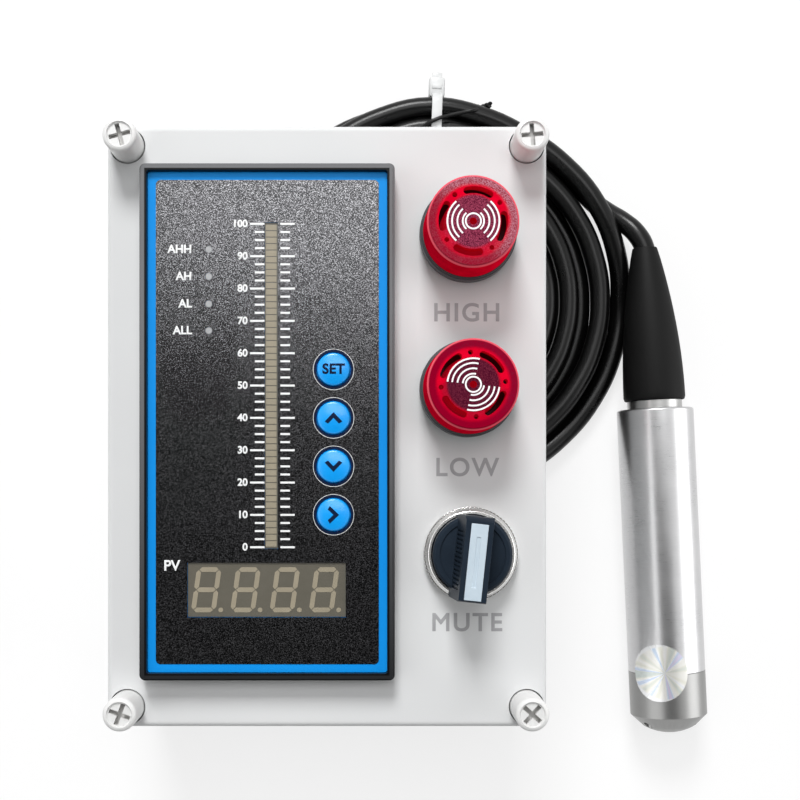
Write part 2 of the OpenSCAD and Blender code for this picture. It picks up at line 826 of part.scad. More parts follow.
// Handle: steep at the pointer end, its flanks spread towards the foot and ribbed
module handle() {
    z = knob_z + 1;
    foot_w = handle_w + 2 * handle_flank;
    lean = atan(handle_flank / (handle_h - z));
    rib_z = knob_z + knob_disc_h + 0.4;
    rib_h = handle_h - rib_z - 2.6;
    difference() {
        intersection() {
            translate([-foot_w / 2, 0, 0]) rotate([90, 0, 90]) linear_extrude(foot_w) polygon([
                [2 - knob_r, z], [knob_r - 2, z], [knob_r - 2, z + 2], [handle_high, z + 2.2],
                [handle_high, handle_h - 2.2],
                [handle_high - 1.2, handle_h], [handle_low + 0.4, handle_h], [handle_low, handle_h - 1.4],
                [handle_low, z + 3.4], [handle_low + 0.8, z + 2], [2 - knob_r, z + 2]
            ]);
            rotate([90, 0, 0]) translate([0, 0, -20]) linear_extrude(40) polygon([
                [-foot_w / 2, z], [foot_w / 2, z], [handle_w / 2, handle_h], [-handle_w / 2, handle_h]
            ]);
        }
        for (s = [-1, 1], i = [0:rib_count - 1]) {
            translate([s * foot_w / 2, insert_at + (i - (rib_count - 1) / 2) * rib_pitch, z]) {
                rotate([0, -s * lean, 0]) block([1, 0.6], rib_z - z, rib_h);
            }
        }
    }
}

module selector_insert() {
    color("white") at_selector() rotate([0, 0, handle_angle]) {
        translate([0, insert_at, handle_h - insert_t]) difference() {
            block(insert_size, 0, insert_t + 0.3);
            block([1.2, insert_size.y - 8], insert_t, 1);
        }
    }
}

// Probe
module probe_tube() {
    color("lightsteelblue") at_probe() up(seam_z) difference() {
        union() {
            cylinder(r = probe_r, h = probe_l - seam_z - 0.6);
            up(probe_l - seam_z - 0.6) cylinder(r1 = probe_r, r2 = probe_r - 0.6, h = 0.6);
        }
        up(-1) cylinder(r = probe_r - tube_t, h = probe_l);
    }
}

// Nose cap: domed end, taper, skirt and the plug in the tube, with three water inlets
module probe_nose() {
    plug_r = probe_r - tube_t - 0.05;
    steps = 5;
    color("silver") at_probe() difference() {
        rotate_extrude() polygon(concat(
            [for (i = [0:steps]) let (r = tip_r * i / steps) [r, dome_z(r)]],
            [
                [probe_r, 0], [probe_r, seam_z - 0.2], [probe_r - 0.2, seam_z],
                [plug_r, seam_z], [plug_r, seam_z + 7], [0, seam_z + 7]
            ]
        ));
        up(-2.5) cylinder(r = 9, h = sensor_z + 3);
        up(sensor_z) cylinder(r = 10.05, h = 20);
        for (a = [90:120:330]) rotate([0, 0, a]) translate([inlet_at, 0, -taper_h - dome_h - 1]) {
            cylinder(r = inlet_r, h = taper_h + dome_h + 3);
        }
        up(seam_z + 3) tube(probe_r, plug_r - 1.25, 2);
    }
}

// Height of the domed end at radius r
function dome_z(r) = dome_r - taper_h - dome_h - sqrt(dome_r * dome_r - r * r);

module probe_sensor() {
    color("silver") at_probe() union() {
        up(sensor_z) cylinder(r = 10, h = 11);
        up(sensor_z - 0.4) tube(8.8, 7.6, 1);
        for (a = [45:90:315]) rotate([0, 0, a]) translate([5, 0, sensor_z + 10]) cylinder(r = 0.5, h = 6);
    }
}

// Seals between the tube and its two end pieces
module probe_seals() {
    color("black") at_probe() for (z = [seam_z + 3.1, probe_l - 7.9]) {
        up(z) tube(probe_r - tube_t, probe_r - tube_t - 1.25, 1.8);
    }
}

module probe_board() {
    color("darkgreen") at_probe() union() {
        up(34) block([24.9, 1.6], 0, 58);
        translate([0, 1.5, 44]) block([8, 2], 0, 10);
        translate([3, 1.5, 62]) block([6, 2], 0, 6);
        translate([-3, 2.4, 74]) block([9, 4], 0, 12);
    }
}

// Steel head: plug in the tube, neck, and the stub that the boot is pushed on
module probe_head() {
    color("silver") at_probe() difference() {
        union() {
            up(probe_l - 12) cylinder(r = probe_r - tube_t - 0.05, h = 11.4);
            up(probe_l - 1) cylinder(r = neck_r, h = neck_h + 1);
            up(boot_z) cylinder(r = 7, h = stub_h);
        }
        up(probe_l - 13) cylinder(r = cable_r + 0.1, h = 60);
        up(probe_l - 8) tube(probe_r, probe_r - tube_t - 1.3, 2);
    }
}

function boot_radius(t) = boot_tip_r + (boot_belly_r - boot_tip_r) * sin(90 * pow(t / boot_l, 0.9));

module probe_boot() {
    steps = 14;
    color([0.12, 0.12, 0.12]) at_probe() up(boot_z) difference() {
        rotate_extrude() polygon(concat(
            [[0, 0], [boot_belly_r - 0.4, 0]],
            [for (i = [0:steps]) let (t = (boot_l - 1.2) * (1 - i / steps)) [boot_radius(t), boot_l - t]],
            [[0, boot_l]]
        ));
        up(-1) cylinder(r = 7.05, h = stub_h + 1.2);
        cylinder(r = cable_r + 0.2, h = boot_l + 1);
    }
}

// Cable
function unit(v) = v / norm(v);

// Point on the smooth curve through a route, at parameter u of stretch i
function spline(p, i, u) = let (
    a = p[max(i - 1, 0)], b = p[i], c = p[i + 1], d = p[min(i + 2, len(p) - 1)]
) 0.5 * (2 * b + (c - a) * u + (2 * a - 5 * b + 4 * c - d) * u * u + (3 * b - a - 3 * c + d) * u * u * u);

function curve(p, n) = concat(
    [for (i = [0:len(p) - 2], k = [0:n - 1]) spline(p, i, k / n)], [p[len(p) - 1]]
);

function heading(c, i) = unit(c[min(i + 1, len(c) - 1)] - c[max(i - 1, 0)]);

// Round tube swept along a route
module swept(route, r, n, sides) {
    c = curve(route, n);
    count = len(c);
    rings = [
        for (i = [0:count - 1], k = [0:sides - 1])
            let (t = heading(c, i), side = unit(cross(t, [0, 0, 1])), rise = cross(side, t))
            c[i] + r * (cos(k * 360 / sides) * side + sin(k * 360 / sides) * rise)
    ];
    walls = [
        for (i = [0:count - 2], k = [0:sides - 1]) let (m = (k + 1) % sides, o = i * sides)
            [o + k, o + m, o + sides + m, o + sides + k]
    ];
    polyhedron(rings, concat(
        walls,
        [[for (k = [sides - 1:-1:0]) k]],
        [[for (k = [0:sides - 1]) (count - 1) * sides + k]]
    ));
}

module cable_lead() {
    color([0.1, 0.1, 0.1]) translate(coil_at) swept(lead_route, cable_r, 2, 12);
}

// Outer shape of the coil, let in where the bands go round it. The lower layer reaches
// further out than the upper one, so that it passes under the belly of the boot
module cable_coil() {
    outer = [coil_r, coil_r - cable_r];
    color([0.1, 0.1, 0.1]) difference() {
        translate(coil_at) rotate_extrude() {
            translate([coil_in_r, cable_r]) square([outer[1] - coil_in_r, cable_d]);
            for (i = [0, 1]) {
                translate([coil_in_r + cable_r, i * cable_d]) {
                    square([outer[i] - coil_in_r - cable_d, cable_d]);
                    for (x = [0, outer[i] - coil_in_r - cable_d]) translate([x, cable_r]) circle(cable_r);
                }
            }
        }
        band_groove(tie_angle, tie_w + 0.2, tie_t);
        band_groove(twist_angle, twist_w + 0.2, twist_t);
    }
}

// Strap round the section of the bundle, which it squeezes to less than the coil's height
module band(angle, w, t) {
    across_bundle(angle) translate([-w / 2, coil_r - bundle_w, 0]) rotate([90, 0, 90]) {
        linear_extrude(w) difference() {
            translate([-t, 0]) square([bundle_w + 2 * t, coil_h]);
            translate([0, t]) square([bundle_w, coil_h - 2 * t]);
        }
    }
}

module band_groove(angle, w, t) {
    across_bundle(angle) translate([-w / 2, coil_in_r - 5, -1]) difference() {
        cube([w, coil_r + 20, coil_h + 3]);
        translate([-1, coil_r - bundle_w - coil_in_r + 5, t + 1]) cube([w + 2, bundle_w, coil_h - 2 * t]);
    }
}

module cable_tail() {
    color([0.1, 0.1, 0.1]) translate(coil_at) swept(tail_route, cable_r, 2, 12);
}

// Two conductors and the vent tube, bared at the end of the cable
module cable_cores() {
    colors = ["red", "black", "white"];
    for (i = [0:2]) color(colors[i]) translate(coil_at) swept(core_routes[i], core_r, 2, 8);
}

// Nylon tie: strap, head with its slot, and the stub of the strap cut off behind the head
module cable_tie() {
    chamfer = 1.1;
    x = tie_head.x / 2;
    y = tie_head.y;
    color("white") {
        band(tie_angle, tie_w, tie_t);
        across_bundle(tie_angle) translate([0, coil_r + tie_t, 5]) {
            linear_extrude(tie_head.z) difference() {
                polygon([
                    [-x + chamfer, 0], [x - chamfer, 0], [x, chamfer], [x, y - chamfer],
                    [x - chamfer, y], [chamfer - x, y], [-x, y - chamfer], [-x, chamfer]
                ]);
                translate([-tie_w / 2, 2.8]) square([tie_w, 1.6]);
            }
            translate([-tie_w / 2, y - 0.2, 2]) cube([tie_w, tie_stub + 0.2, tie_t]);
        }
    }
}

module twist_tie() {
    color([0.1, 0.1, 0.1]) {
        band(twist_angle, twist_w, twist_t);
        across_bundle(twist_angle) translate([0, coil_r + twist_t - 0.2, 9]) rotate([0, 0, 20]) {
            cube([5, 0.8, 1.4]);
        }
    }
}

enclosure_base();
enclosure_cover();
cover_gasket();
cover_screws();
cable_grommets();
wiring_strip();
terminal_screws();
meter_bezel();
meter_front_plate();
meter_film();
meter_case();
bar_display();
bar_segments();
digit_display();
digit_segments();
alarm_leds();
display_board();
key_switches();
relay_board();
relays();
transformer();
meter_terminals();
meter_clamps();
clamp_screws();
key_cap(0);  // key_set
key_cap(1);  // key_up
key_cap(2);  // key_down
key_cap(3);  // key_shift
at_high() alarm_lens(-10);  // high_alarm_lens
at_high() alarm_marks(0);  // high_alarm_marks
at_high() alarm_base();  // high_alarm_base
at_high() alarm_seal();  // high_alarm_seal
at_high() alarm_nut();  // high_alarm_nut
at_high() alarm_sounder();  // high_alarm_sounder
at_low() alarm_lens(50);  // low_alarm_lens
at_low() alarm_marks(-55);  // low_alarm_marks
at_low() alarm_base();  // low_alarm_base
at_low() alarm_seal();  // low_alarm_seal
at_low() alarm_nut();  // low_alarm_nut
at_low() alarm_sounder();  // low_alarm_sounder
selector_body();
selector_ring();
selector_nut();
selector_contacts();
selector_shaft();
selector_knob();
selector_insert();
probe_tube();
probe_nose();
probe_head();
probe_boot();
probe_sensor();
probe_seals();
probe_board();
cable_lead();
cable_coil();
cable_tail();
cable_cores();
cable_tie();
twist_tie();
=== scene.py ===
import math

import bmesh
import bpy
from mathutils import Matrix, Vector


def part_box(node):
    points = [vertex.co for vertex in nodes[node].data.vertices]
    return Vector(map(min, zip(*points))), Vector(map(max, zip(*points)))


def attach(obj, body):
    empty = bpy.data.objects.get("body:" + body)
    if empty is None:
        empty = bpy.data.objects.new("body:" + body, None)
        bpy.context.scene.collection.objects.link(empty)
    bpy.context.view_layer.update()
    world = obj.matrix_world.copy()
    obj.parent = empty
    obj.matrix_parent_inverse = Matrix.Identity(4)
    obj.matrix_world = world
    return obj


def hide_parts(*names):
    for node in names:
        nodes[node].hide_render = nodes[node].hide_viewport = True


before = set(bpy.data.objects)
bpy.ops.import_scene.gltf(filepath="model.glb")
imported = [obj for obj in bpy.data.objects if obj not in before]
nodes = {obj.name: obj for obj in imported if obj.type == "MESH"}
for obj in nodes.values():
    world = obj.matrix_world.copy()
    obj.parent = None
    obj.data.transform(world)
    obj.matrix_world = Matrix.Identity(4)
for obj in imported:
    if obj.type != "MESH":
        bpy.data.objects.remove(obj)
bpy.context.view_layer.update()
mm = 0.001


def middle(node):
    low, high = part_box(node)
    return (Vector(low) + Vector(high)) / 2


def top(node):
    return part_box(node)[1][2]


def corners(node):
    # Lowest and highest corner, in mm
    return [Vector(corner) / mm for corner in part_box(node)]


# Camera

cameraSet = {
    # The camera's place over the cover, and its sensor, in mm
    "above": (-24.4, -9.475), "distance": 410, "sensor": 36,
    # The picture's size, the camera's focal length and where it looks straight down, in pixels
    "picture": 800, "focalPixels": 1287, "axisPixel": (360, 480),
}


def makeCamera():
    data = bpy.data.cameras.new("photoCamera")
    data.sensor_width = cameraSet["sensor"]
    data.lens = data.sensor_width * cameraSet["focalPixels"] / cameraSet["picture"]
    data.shift_x = 0.5 - cameraSet["axisPixel"][0] / cameraSet["picture"]
    data.shift_y = cameraSet["axisPixel"][1] / cameraSet["picture"] - 0.5
    camera = bpy.data.objects.new("photoCamera", data)
    bpy.context.scene.collection.objects.link(camera)
    x, y = cameraSet["above"]
    camera.location = (x * mm, y * mm, top("enclosure_cover") + cameraSet["distance"] * mm)
    bpy.context.scene.camera = camera
    bpy.context.scene.view_settings.view_transform = "Standard"


makeCamera()
print("camera made")


# Working with pieces

def clearSelection():
    if bpy.context.object and bpy.context.object.mode != "OBJECT":
        bpy.ops.object.mode_set(mode="OBJECT")
    bpy.ops.object.select_all(action="DESELECT")


def pick(piece):
    clearSelection()
    piece.select_set(True)
    bpy.context.view_layer.objects.active = piece


def settle(piece):
    pick(piece)
    bpy.ops.object.transform_apply(location=True, rotation=True, scale=True)


def applied(piece, kind, **settings):
    modifier = piece.modifiers.new(kind.lower(), kind)
    for name, value in settings.items():
        setattr(modifier, name, value)
    pick(piece)
    bpy.ops.object.modifier_apply(modifier=modifier.name)
    return piece


def joined(group):
    clearSelection()
    for piece in group:
        piece.select_set(True)
    bpy.context.view_layer.objects.active = group[0]
    if len(group) > 1:
        bpy.ops.object.join()
    return group[0]


def smooth(piece, angle=35):
    # Edges sharper than the angle stay edges
    pick(piece)
    bpy.ops.object.shade_smooth_by_angle(angle=math.radians(angle))


def asMesh(piece):
    pick(piece)
    bpy.ops.object.convert(target="MESH")
    return bpy.context.object


def edited(piece, *steps):
    # Runs edit-mode steps on the whole mesh
    pick(piece)
    bpy.ops.object.mode_set(mode="EDIT")
    bpy.ops.mesh.select_all(action="SELECT")
    for step in steps:
        step()
    bpy.ops.object.mode_set(mode="OBJECT")
    return piece


def mergeTwins():
    bpy.ops.mesh.remove_doubles(threshold=0.002 * mm)


def turnedOut(piece):
    return edited(piece, mergeTwins, bpy.ops.mesh.normals_make_consistent)


def placed(piece, name, body, finish, replaced=()):
    piece.name = name
    piece.data.name = name
    if piece.type == "MESH":
        settle(piece)
        smooth(piece)
    piece.data.materials.clear()
    piece.data.materials.append(finish)
    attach(piece, body)
    if replaced:
        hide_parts(*replaced)
    return piece


# Materials

def paint(red, green, blue):
    # A screen colour as the linear colour that a shader takes
    levels = (red / 255, green / 255, blue / 255)
    linear = [level / 12.92 if level < 0.04 else ((level + 0.055) / 1.055) ** 2.4 for level in levels]
    return (*linear, 1.0)


class Value:
    # An output of a node, which takes part in sums as a number does
    def __init__(self, finish, socket):
        self.finish = finish
        self.socket = socket

    def maths(self, operation, first, second):
        return self.finish.node("ShaderNodeMath", {"operation": operation}, {0: first, 1: second})

    def __add__(self, other):
        return self.maths("ADD", self, other)

    def __radd__(self, other):
        return self.maths("ADD", other, self)

    def __sub__(self, other):
        return self.maths("SUBTRACT", self, other)

    def __rsub__(self, other):
        return self.maths("SUBTRACT", other, self)

    def __mul__(self, other):
        return self.maths("MULTIPLY", self, other)

    def __rmul__(self, other):
        return self.maths("MULTIPLY", other, self)

    def __truediv__(self, other):
        return self.maths("DIVIDE", self, other)

    def __pow__(self, other):
        return self.maths("POWER", self, other)

    def between(self, low, high):
        # 0 below low, 1 above high, and smooth on the way
        span = {0: self, 1: low, 2: high, 3: 0.0, 4: 1.0}
        return self.finish.node("ShaderNodeMapRange", {"interpolation_type": "SMOOTHSTEP"}, span)


class Finish:
    def __init__(self, name, color, roughness, metallic=0.0, **constants):
        self.material = bpy.data.materials.new(name)
        self.material.use_nodes = True
        self.tree = self.material.node_tree
        self.shader = next(n for n in self.tree.nodes if n.type == "BSDF_PRINCIPLED")
        self.give("Base Color", color)
        self.give("Roughness", roughness)
        self.give("Metallic", metallic)
        for key, value in constants.items():
            self.shader.inputs[key.replace("_", " ")].default_value = value
        coordinates = self.node("ShaderNodeTexCoord", output="Object")
        self.spot = self.node("ShaderNodeVectorMath", {"operation": "SCALE"}, {0: coordinates, 3: 1 / mm})

    def node(self, kind, settings=None, inputs=None, output=0):
        made = self.tree.nodes.new(kind)
        for name, value in (settings or {}).items():
            if name == "stops":
                # A ramp has its first and last stop already
                ramp = made.color_ramp.elements
                for place, color in value[1:-1]:
                    ramp.new(place)
                for element, (place, color) in zip(ramp, value):
                    element.position = place
                    element.color = color
            else:
                setattr(made, name, value)
        for key, value in (inputs or {}).items():
            if isinstance(value, Value):
                self.tree.links.new(value.socket, made.inputs[key])
            else:
                made.inputs[key].default_value = value
        return Value(self, made.outputs[output])

    def give(self, name, value):
        if isinstance(value, Value):
            self.tree.links.new(value.socket, self.shader.inputs[name])
        else:
            self.shader.inputs[name].default_value = value

    def moved(self, centre=(0, 0, 0), stretch=(1, 1, 1), turn=0.0):
        return self.node(
            "ShaderNodeMapping", {"vector_type": "TEXTURE"},
            {0: self.spot, 1: centre, 2: (0, 0, math.radians(turn)), 3: stretch},
        )

    def noise(self, size, detail=2.0, spot=None):
        inputs = {0: spot or self.spot, "Scale": 1 / size, "Detail": detail}
        return self.node("ShaderNodeTexNoise", None, inputs)

    def axis(self, number, spot=None):
        return self.node("ShaderNodeSeparateXYZ", None, {0: spot or self.spot}, number)

    def awayFrom(self, centre, number):
        # Distance from the centre along one axis
        return ((self.axis(number) - centre[number]) ** 2) ** 0.5

    def across(self, x, y):
        return (x * x + y * y) ** 0.5

    def mix(self, first, second, factor):
        return self.node("ShaderNodeMix", {"data_type": "RGBA"}, {0: factor, 6: first, 7: second}, 2)

    def bump(self, height, depth):
        inputs = {"Height": height, "Distance": depth * mm, "Strength": 1.0}
        self.give("Normal", self.node("ShaderNodeBump", None, inputs, "Normal"))


def moulded(name, dark, light, roughness, grain, depth, patch=20, **constants):
    # Moulded plastic or rubber: fine moulded grain, and a slow change of tone and gloss
    finish = Finish(name, dark, roughness, **constants)
    tone = finish.noise(patch, 3)
    skin = finish.noise(grain, 3)
    finish.give("Base Color", finish.mix(dark, light, 0.7 * tone + 0.3 * skin))
    finish.give("Roughness", roughness - 0.06 + 0.08 * skin + 0.06 * tone)
    finish.bump(skin, depth)
    return finish.material


def metalPart(name, color, roughness, grain, stretch=(1, 1, 1), depth=0.01):
    # Worked metal: fine marks along the stretch direction over a faint cloudiness
    finish = Finish(name, color, roughness, 1.0)
    marks = finish.noise(grain, 4, finish.moved(stretch=stretch))
    cloud = finish.noise(9, 2)
    shade = tuple(c * 0.82 for c in color[:3]) + (1.0,)
    finish.give("Base Color", finish.mix(shade, color, 0.6 * marks + 0.4 * cloud))
    finish.give("Roughness", roughness - 0.05 + 0.1 * marks)
    finish.bump(marks, depth)
    return finish.material


# Depths inside the ring's outermost radius: the tops of the knurls end, and their grooves end
ringSet = {"topsEnd": (0.13, 0.27), "groovesEnd": (0.38, 0.46)}


def knurledChrome():
    # Polished ring, with painted shade in the grooves of its knurled band
    finish = Finish("brightChrome", paint(240, 239, 237), 0.26, 1.0)
    low, high = corners("selector_ring")
    centre, radius = (low + high) / 2, (high.x - low.x) / 2
    depth = radius - finish.across(*(finish.axis(n) - centre[n] for n in range(2)))
    grooves = depth.between(*ringSet["topsEnd"]) * (1 - depth.between(*ringSet["groovesEnd"]))
    marks = finish.noise(0.8, 4)
    bright = finish.mix(paint(222, 221, 219), paint(242, 241, 239), marks)
    # Painted shade: the grooves of the knurled band are darkened
    finish.give("Base Color", finish.mix(bright, paint(84, 83, 82), grooves))
    finish.give("Roughness", 0.21 + 0.1 * marks)
    finish.bump(marks, 0.004)
    return finish.material


def brushedTube():
    # Belt-ground stainless steel: fine rings round the tube, a few longer scratches, faint stains
    finish = Finish("groundStainless", paint(205, 205, 206), 0.3, 1.0)
    rings = finish.noise(0.12, 3, finish.moved(turn=probeSet["tilt"], stretch=(30, 1, 30)))
    scratches = finish.noise(0.7, 5, finish.moved(turn=probeSet["tilt"], stretch=(9, 0.6, 9)))
    cloud = finish.noise(14, 3)
    tone = 0.5 * rings + 0.5 * cloud
    finish.give("Base Color", finish.mix(paint(178, 178, 180), paint(214, 214, 214), tone))
    finish.give("Roughness", 0.2 + 0.12 * rings + 0.08 * cloud)
    finish.bump(0.7 * rings + 0.3 * scratches, 0.006)
    return finish.material


def grainedFilm():
    # Black printed film whose pimpled skin throws back specks of light
    finish = Finish("grainedFilm", paint(15, 15, 16), 0.3, Specular_IOR_Level=0.2)
    flecks = finish.noise(0.3, 2).between(0.34, 0.7)
    finish.give("Base Color", finish.mix(paint(40, 40, 41), paint(134, 134, 137), flecks * flecks))
    finish.give("Metallic", 1 - 0.12 * flecks)
    finish.give("Roughness", 0.19 + 0.05 * finish.noise(30))
    finish.bump(finish.noise(0.5, 1), 0.012)
    return finish.material


# Where the painted grey highlight on the outer edge begins, from the frame's outside, and how it grows from
# its lower to its upper end
frameSet = {"litEdge": (-1.8, -1.55), "growing": (-0.15, 0.8)}


def frameBlack():
    # Satin frame: black inside, with a painted grey highlight along its outer edge, brightest along the upper
    # side
    finish = Finish("frameBlack", paint(16, 17, 19), 0.32, Specular_IOR_Level=0.1)
    low, high = corners("meter_bezel")
    centre, half = (low + high) / 2, (high - low) / 2
    sides = [(finish.awayFrom(centre, n) - half[n]).between(*frameSet["litEdge"]) for n in range(2)]
    edge = finish.node("ShaderNodeMath", {"operation": "MAXIMUM"}, dict(enumerate(sides)))
    skin = finish.noise(0.5, 3)
    inner = finish.mix(paint(6, 7, 8), paint(12, 13, 15), skin)
    # Painted highlight: the grey edge is lighter towards the upper side, where the light falls on it
    lighterUpwards = ((finish.axis(1) - low.y) / (high.y - low.y)).between(*frameSet["growing"])
    outer = finish.mix(paint(20, 21, 23), paint(112, 113, 115), lighterUpwards)
    finish.give("Base Color", finish.mix(inner, outer, edge))
    finish.give("Roughness", 0.28 + 0.08 * skin)
    finish.bump(skin, 0.008)
    return finish.material


screwSet = {"headRadius": 5.3, "crossRadius": (3.5, 4.0), "crossDepth": (2.6, 0.9), "turned": -33}


def recessedNylon():
    # White nylon screws, with painted shade at the bottom of the cross
    finish = Finish("whiteNylon", paint(218, 218, 217), 0.36)
    low, high = corners("cover_screws")
    centre, half = (low + high) / 2, (high - low) / 2
    fromAxis = (finish.awayFrom(centre, n) - half[n] + screwSet["headRadius"] for n in range(2))
    # Painted shade: the bottom of the cross recess is darker
    deep = 1 - finish.axis(2).between(*(high.z - depth for depth in screwSet["crossDepth"]))
    cross = deep * (1 - finish.across(*fromAxis).between(*screwSet["crossRadius"]))
    tone = finish.noise(6, 3)
    plain = finish.mix(paint(212, 212, 211), paint(226, 226, 225), tone)
    finish.give("Base Color", finish.mix(plain, paint(196, 195, 193), cross))
    finish.give("Roughness", 0.32 + 0.1 * tone)
    finish.bump(finish.noise(1.2), 0.01)
    return finish.material


lensSet = {
    # Distances from the lens's middle at which one zone goes over into the next
    "middleEnds": (8.8, 10.2), "slotsStart": (7.4, 8.6), "slotsEnd": (10.4, 11.8), "rimStarts": (13.2, 13.6),
    # Depths below its face
    "face": (0.5, 0.12), "rim": (1.4, 0.5),
}


def clearRed(name, node, haze, core):
    # Red polycarbonate: a dark mottled top, a brighter ring round the slots, clear walls with a painted glow
    # standing in for the light inside; painted highlights on the upper right side of the ring and along the
    # rim, and slots painted brighter towards the top
    finish = Finish(name, paint(214, 10, 42), 0.3, Specular_IOR_Level=0.0, Emission_Strength=0.16)
    centre, face = middle(node) / mm, top(node) / mm
    x, y, z = (finish.axis(n) for n in range(3))
    x, y = x - centre.x, y - centre.y
    across = finish.across(x, y)
    frost = finish.noise(0.3, 3).between(0.3, 0.74)
    flow = finish.noise(4.2, 3)
    walls = finish.mix(paint(170, 0, 30), paint(226, 6, 42), flow)
    middleZone = finish.mix(paint(60, 4, 28), core, frost)
    # Painted highlight: the pale haze is strongest on the upper right side
    side = (0.07 * (x + y) + 0.5).between(0, 1)
    outerZone = finish.mix(paint(132, 0, 32), haze, frost * (0.14 + 0.86 * side))
    slots = across.between(*lensSet["slotsStart"]) * (1 - across.between(*lensSet["slotsEnd"]))
    faced = finish.mix(middleZone, outerZone, across.between(*lensSet["middleEnds"]))
    # Painted light: the slots take the bright wall red, more so towards the upper side
    faced = finish.mix(faced, walls, slots * (0.6 + 0.4 * (flow + 0.05 * y).between(0.3, 0.6)))
    upper = z.between(*(face - depth for depth in lensSet["face"]))
    rim = across.between(*lensSet["rimStarts"]) * z.between(*(face - depth for depth in lensSet["rim"]))
    # Painted highlight: a pale line along the rim where the top face meets the wall
    color = finish.mix(finish.mix(walls, faced, upper), paint(236, 150, 166), 0.3 * rim)
    finish.give("Base Color", color)
    # Painted glow: the lens gives off its own colour, in place of light scattered through the red plastic
    finish.give("Emission Color", color)
    finish.give("Roughness", 0.2 + 0.2 * upper * frost)
    finish.bump(frost * upper, 0.04)
    return finish.material


def labelFoil():
    # Plain silver foil disc that breaks the light into faint colours, in sectors from its middle
    finish = Finish("labelFoil", paint(200, 201, 200), 0.24, 0.4)
    local = finish.moved(centre=(stickerSet["middle"][0], stickerSet["middle"][1], 0))
    x, y = finish.axis(0, local), finish.axis(1, local)
    angle = finish.node("ShaderNodeMath", {"operation": "ARCTAN2"}, {0: y, 1: x})
    sector = finish.noise(0.55, 1, finish.node("ShaderNodeCombineXYZ", None, {0: angle}))
    colors = finish.node("ShaderNodeValToRGB", {"stops": [
        (0.0, paint(188, 190, 192)), (0.38, paint(196, 204, 200)), (0.46, paint(220, 219, 208)),
        (0.54, paint(232, 232, 232)), (0.61, paint(190, 206, 224)), (0.68, paint(212, 200, 222)),
        (1.0, paint(236, 236, 234))
    ]}, {0: sector})
    edge = finish.across(x, y).between(9.3, 9.9)
    finish.give("Base Color", finish.mix(colors, paint(226, 227, 228), edge))
    finish.give("Roughness", 0.24 + 0.06 * sector)
    finish.bump(finish.noise(5.0), 0.01)
    return finish.material


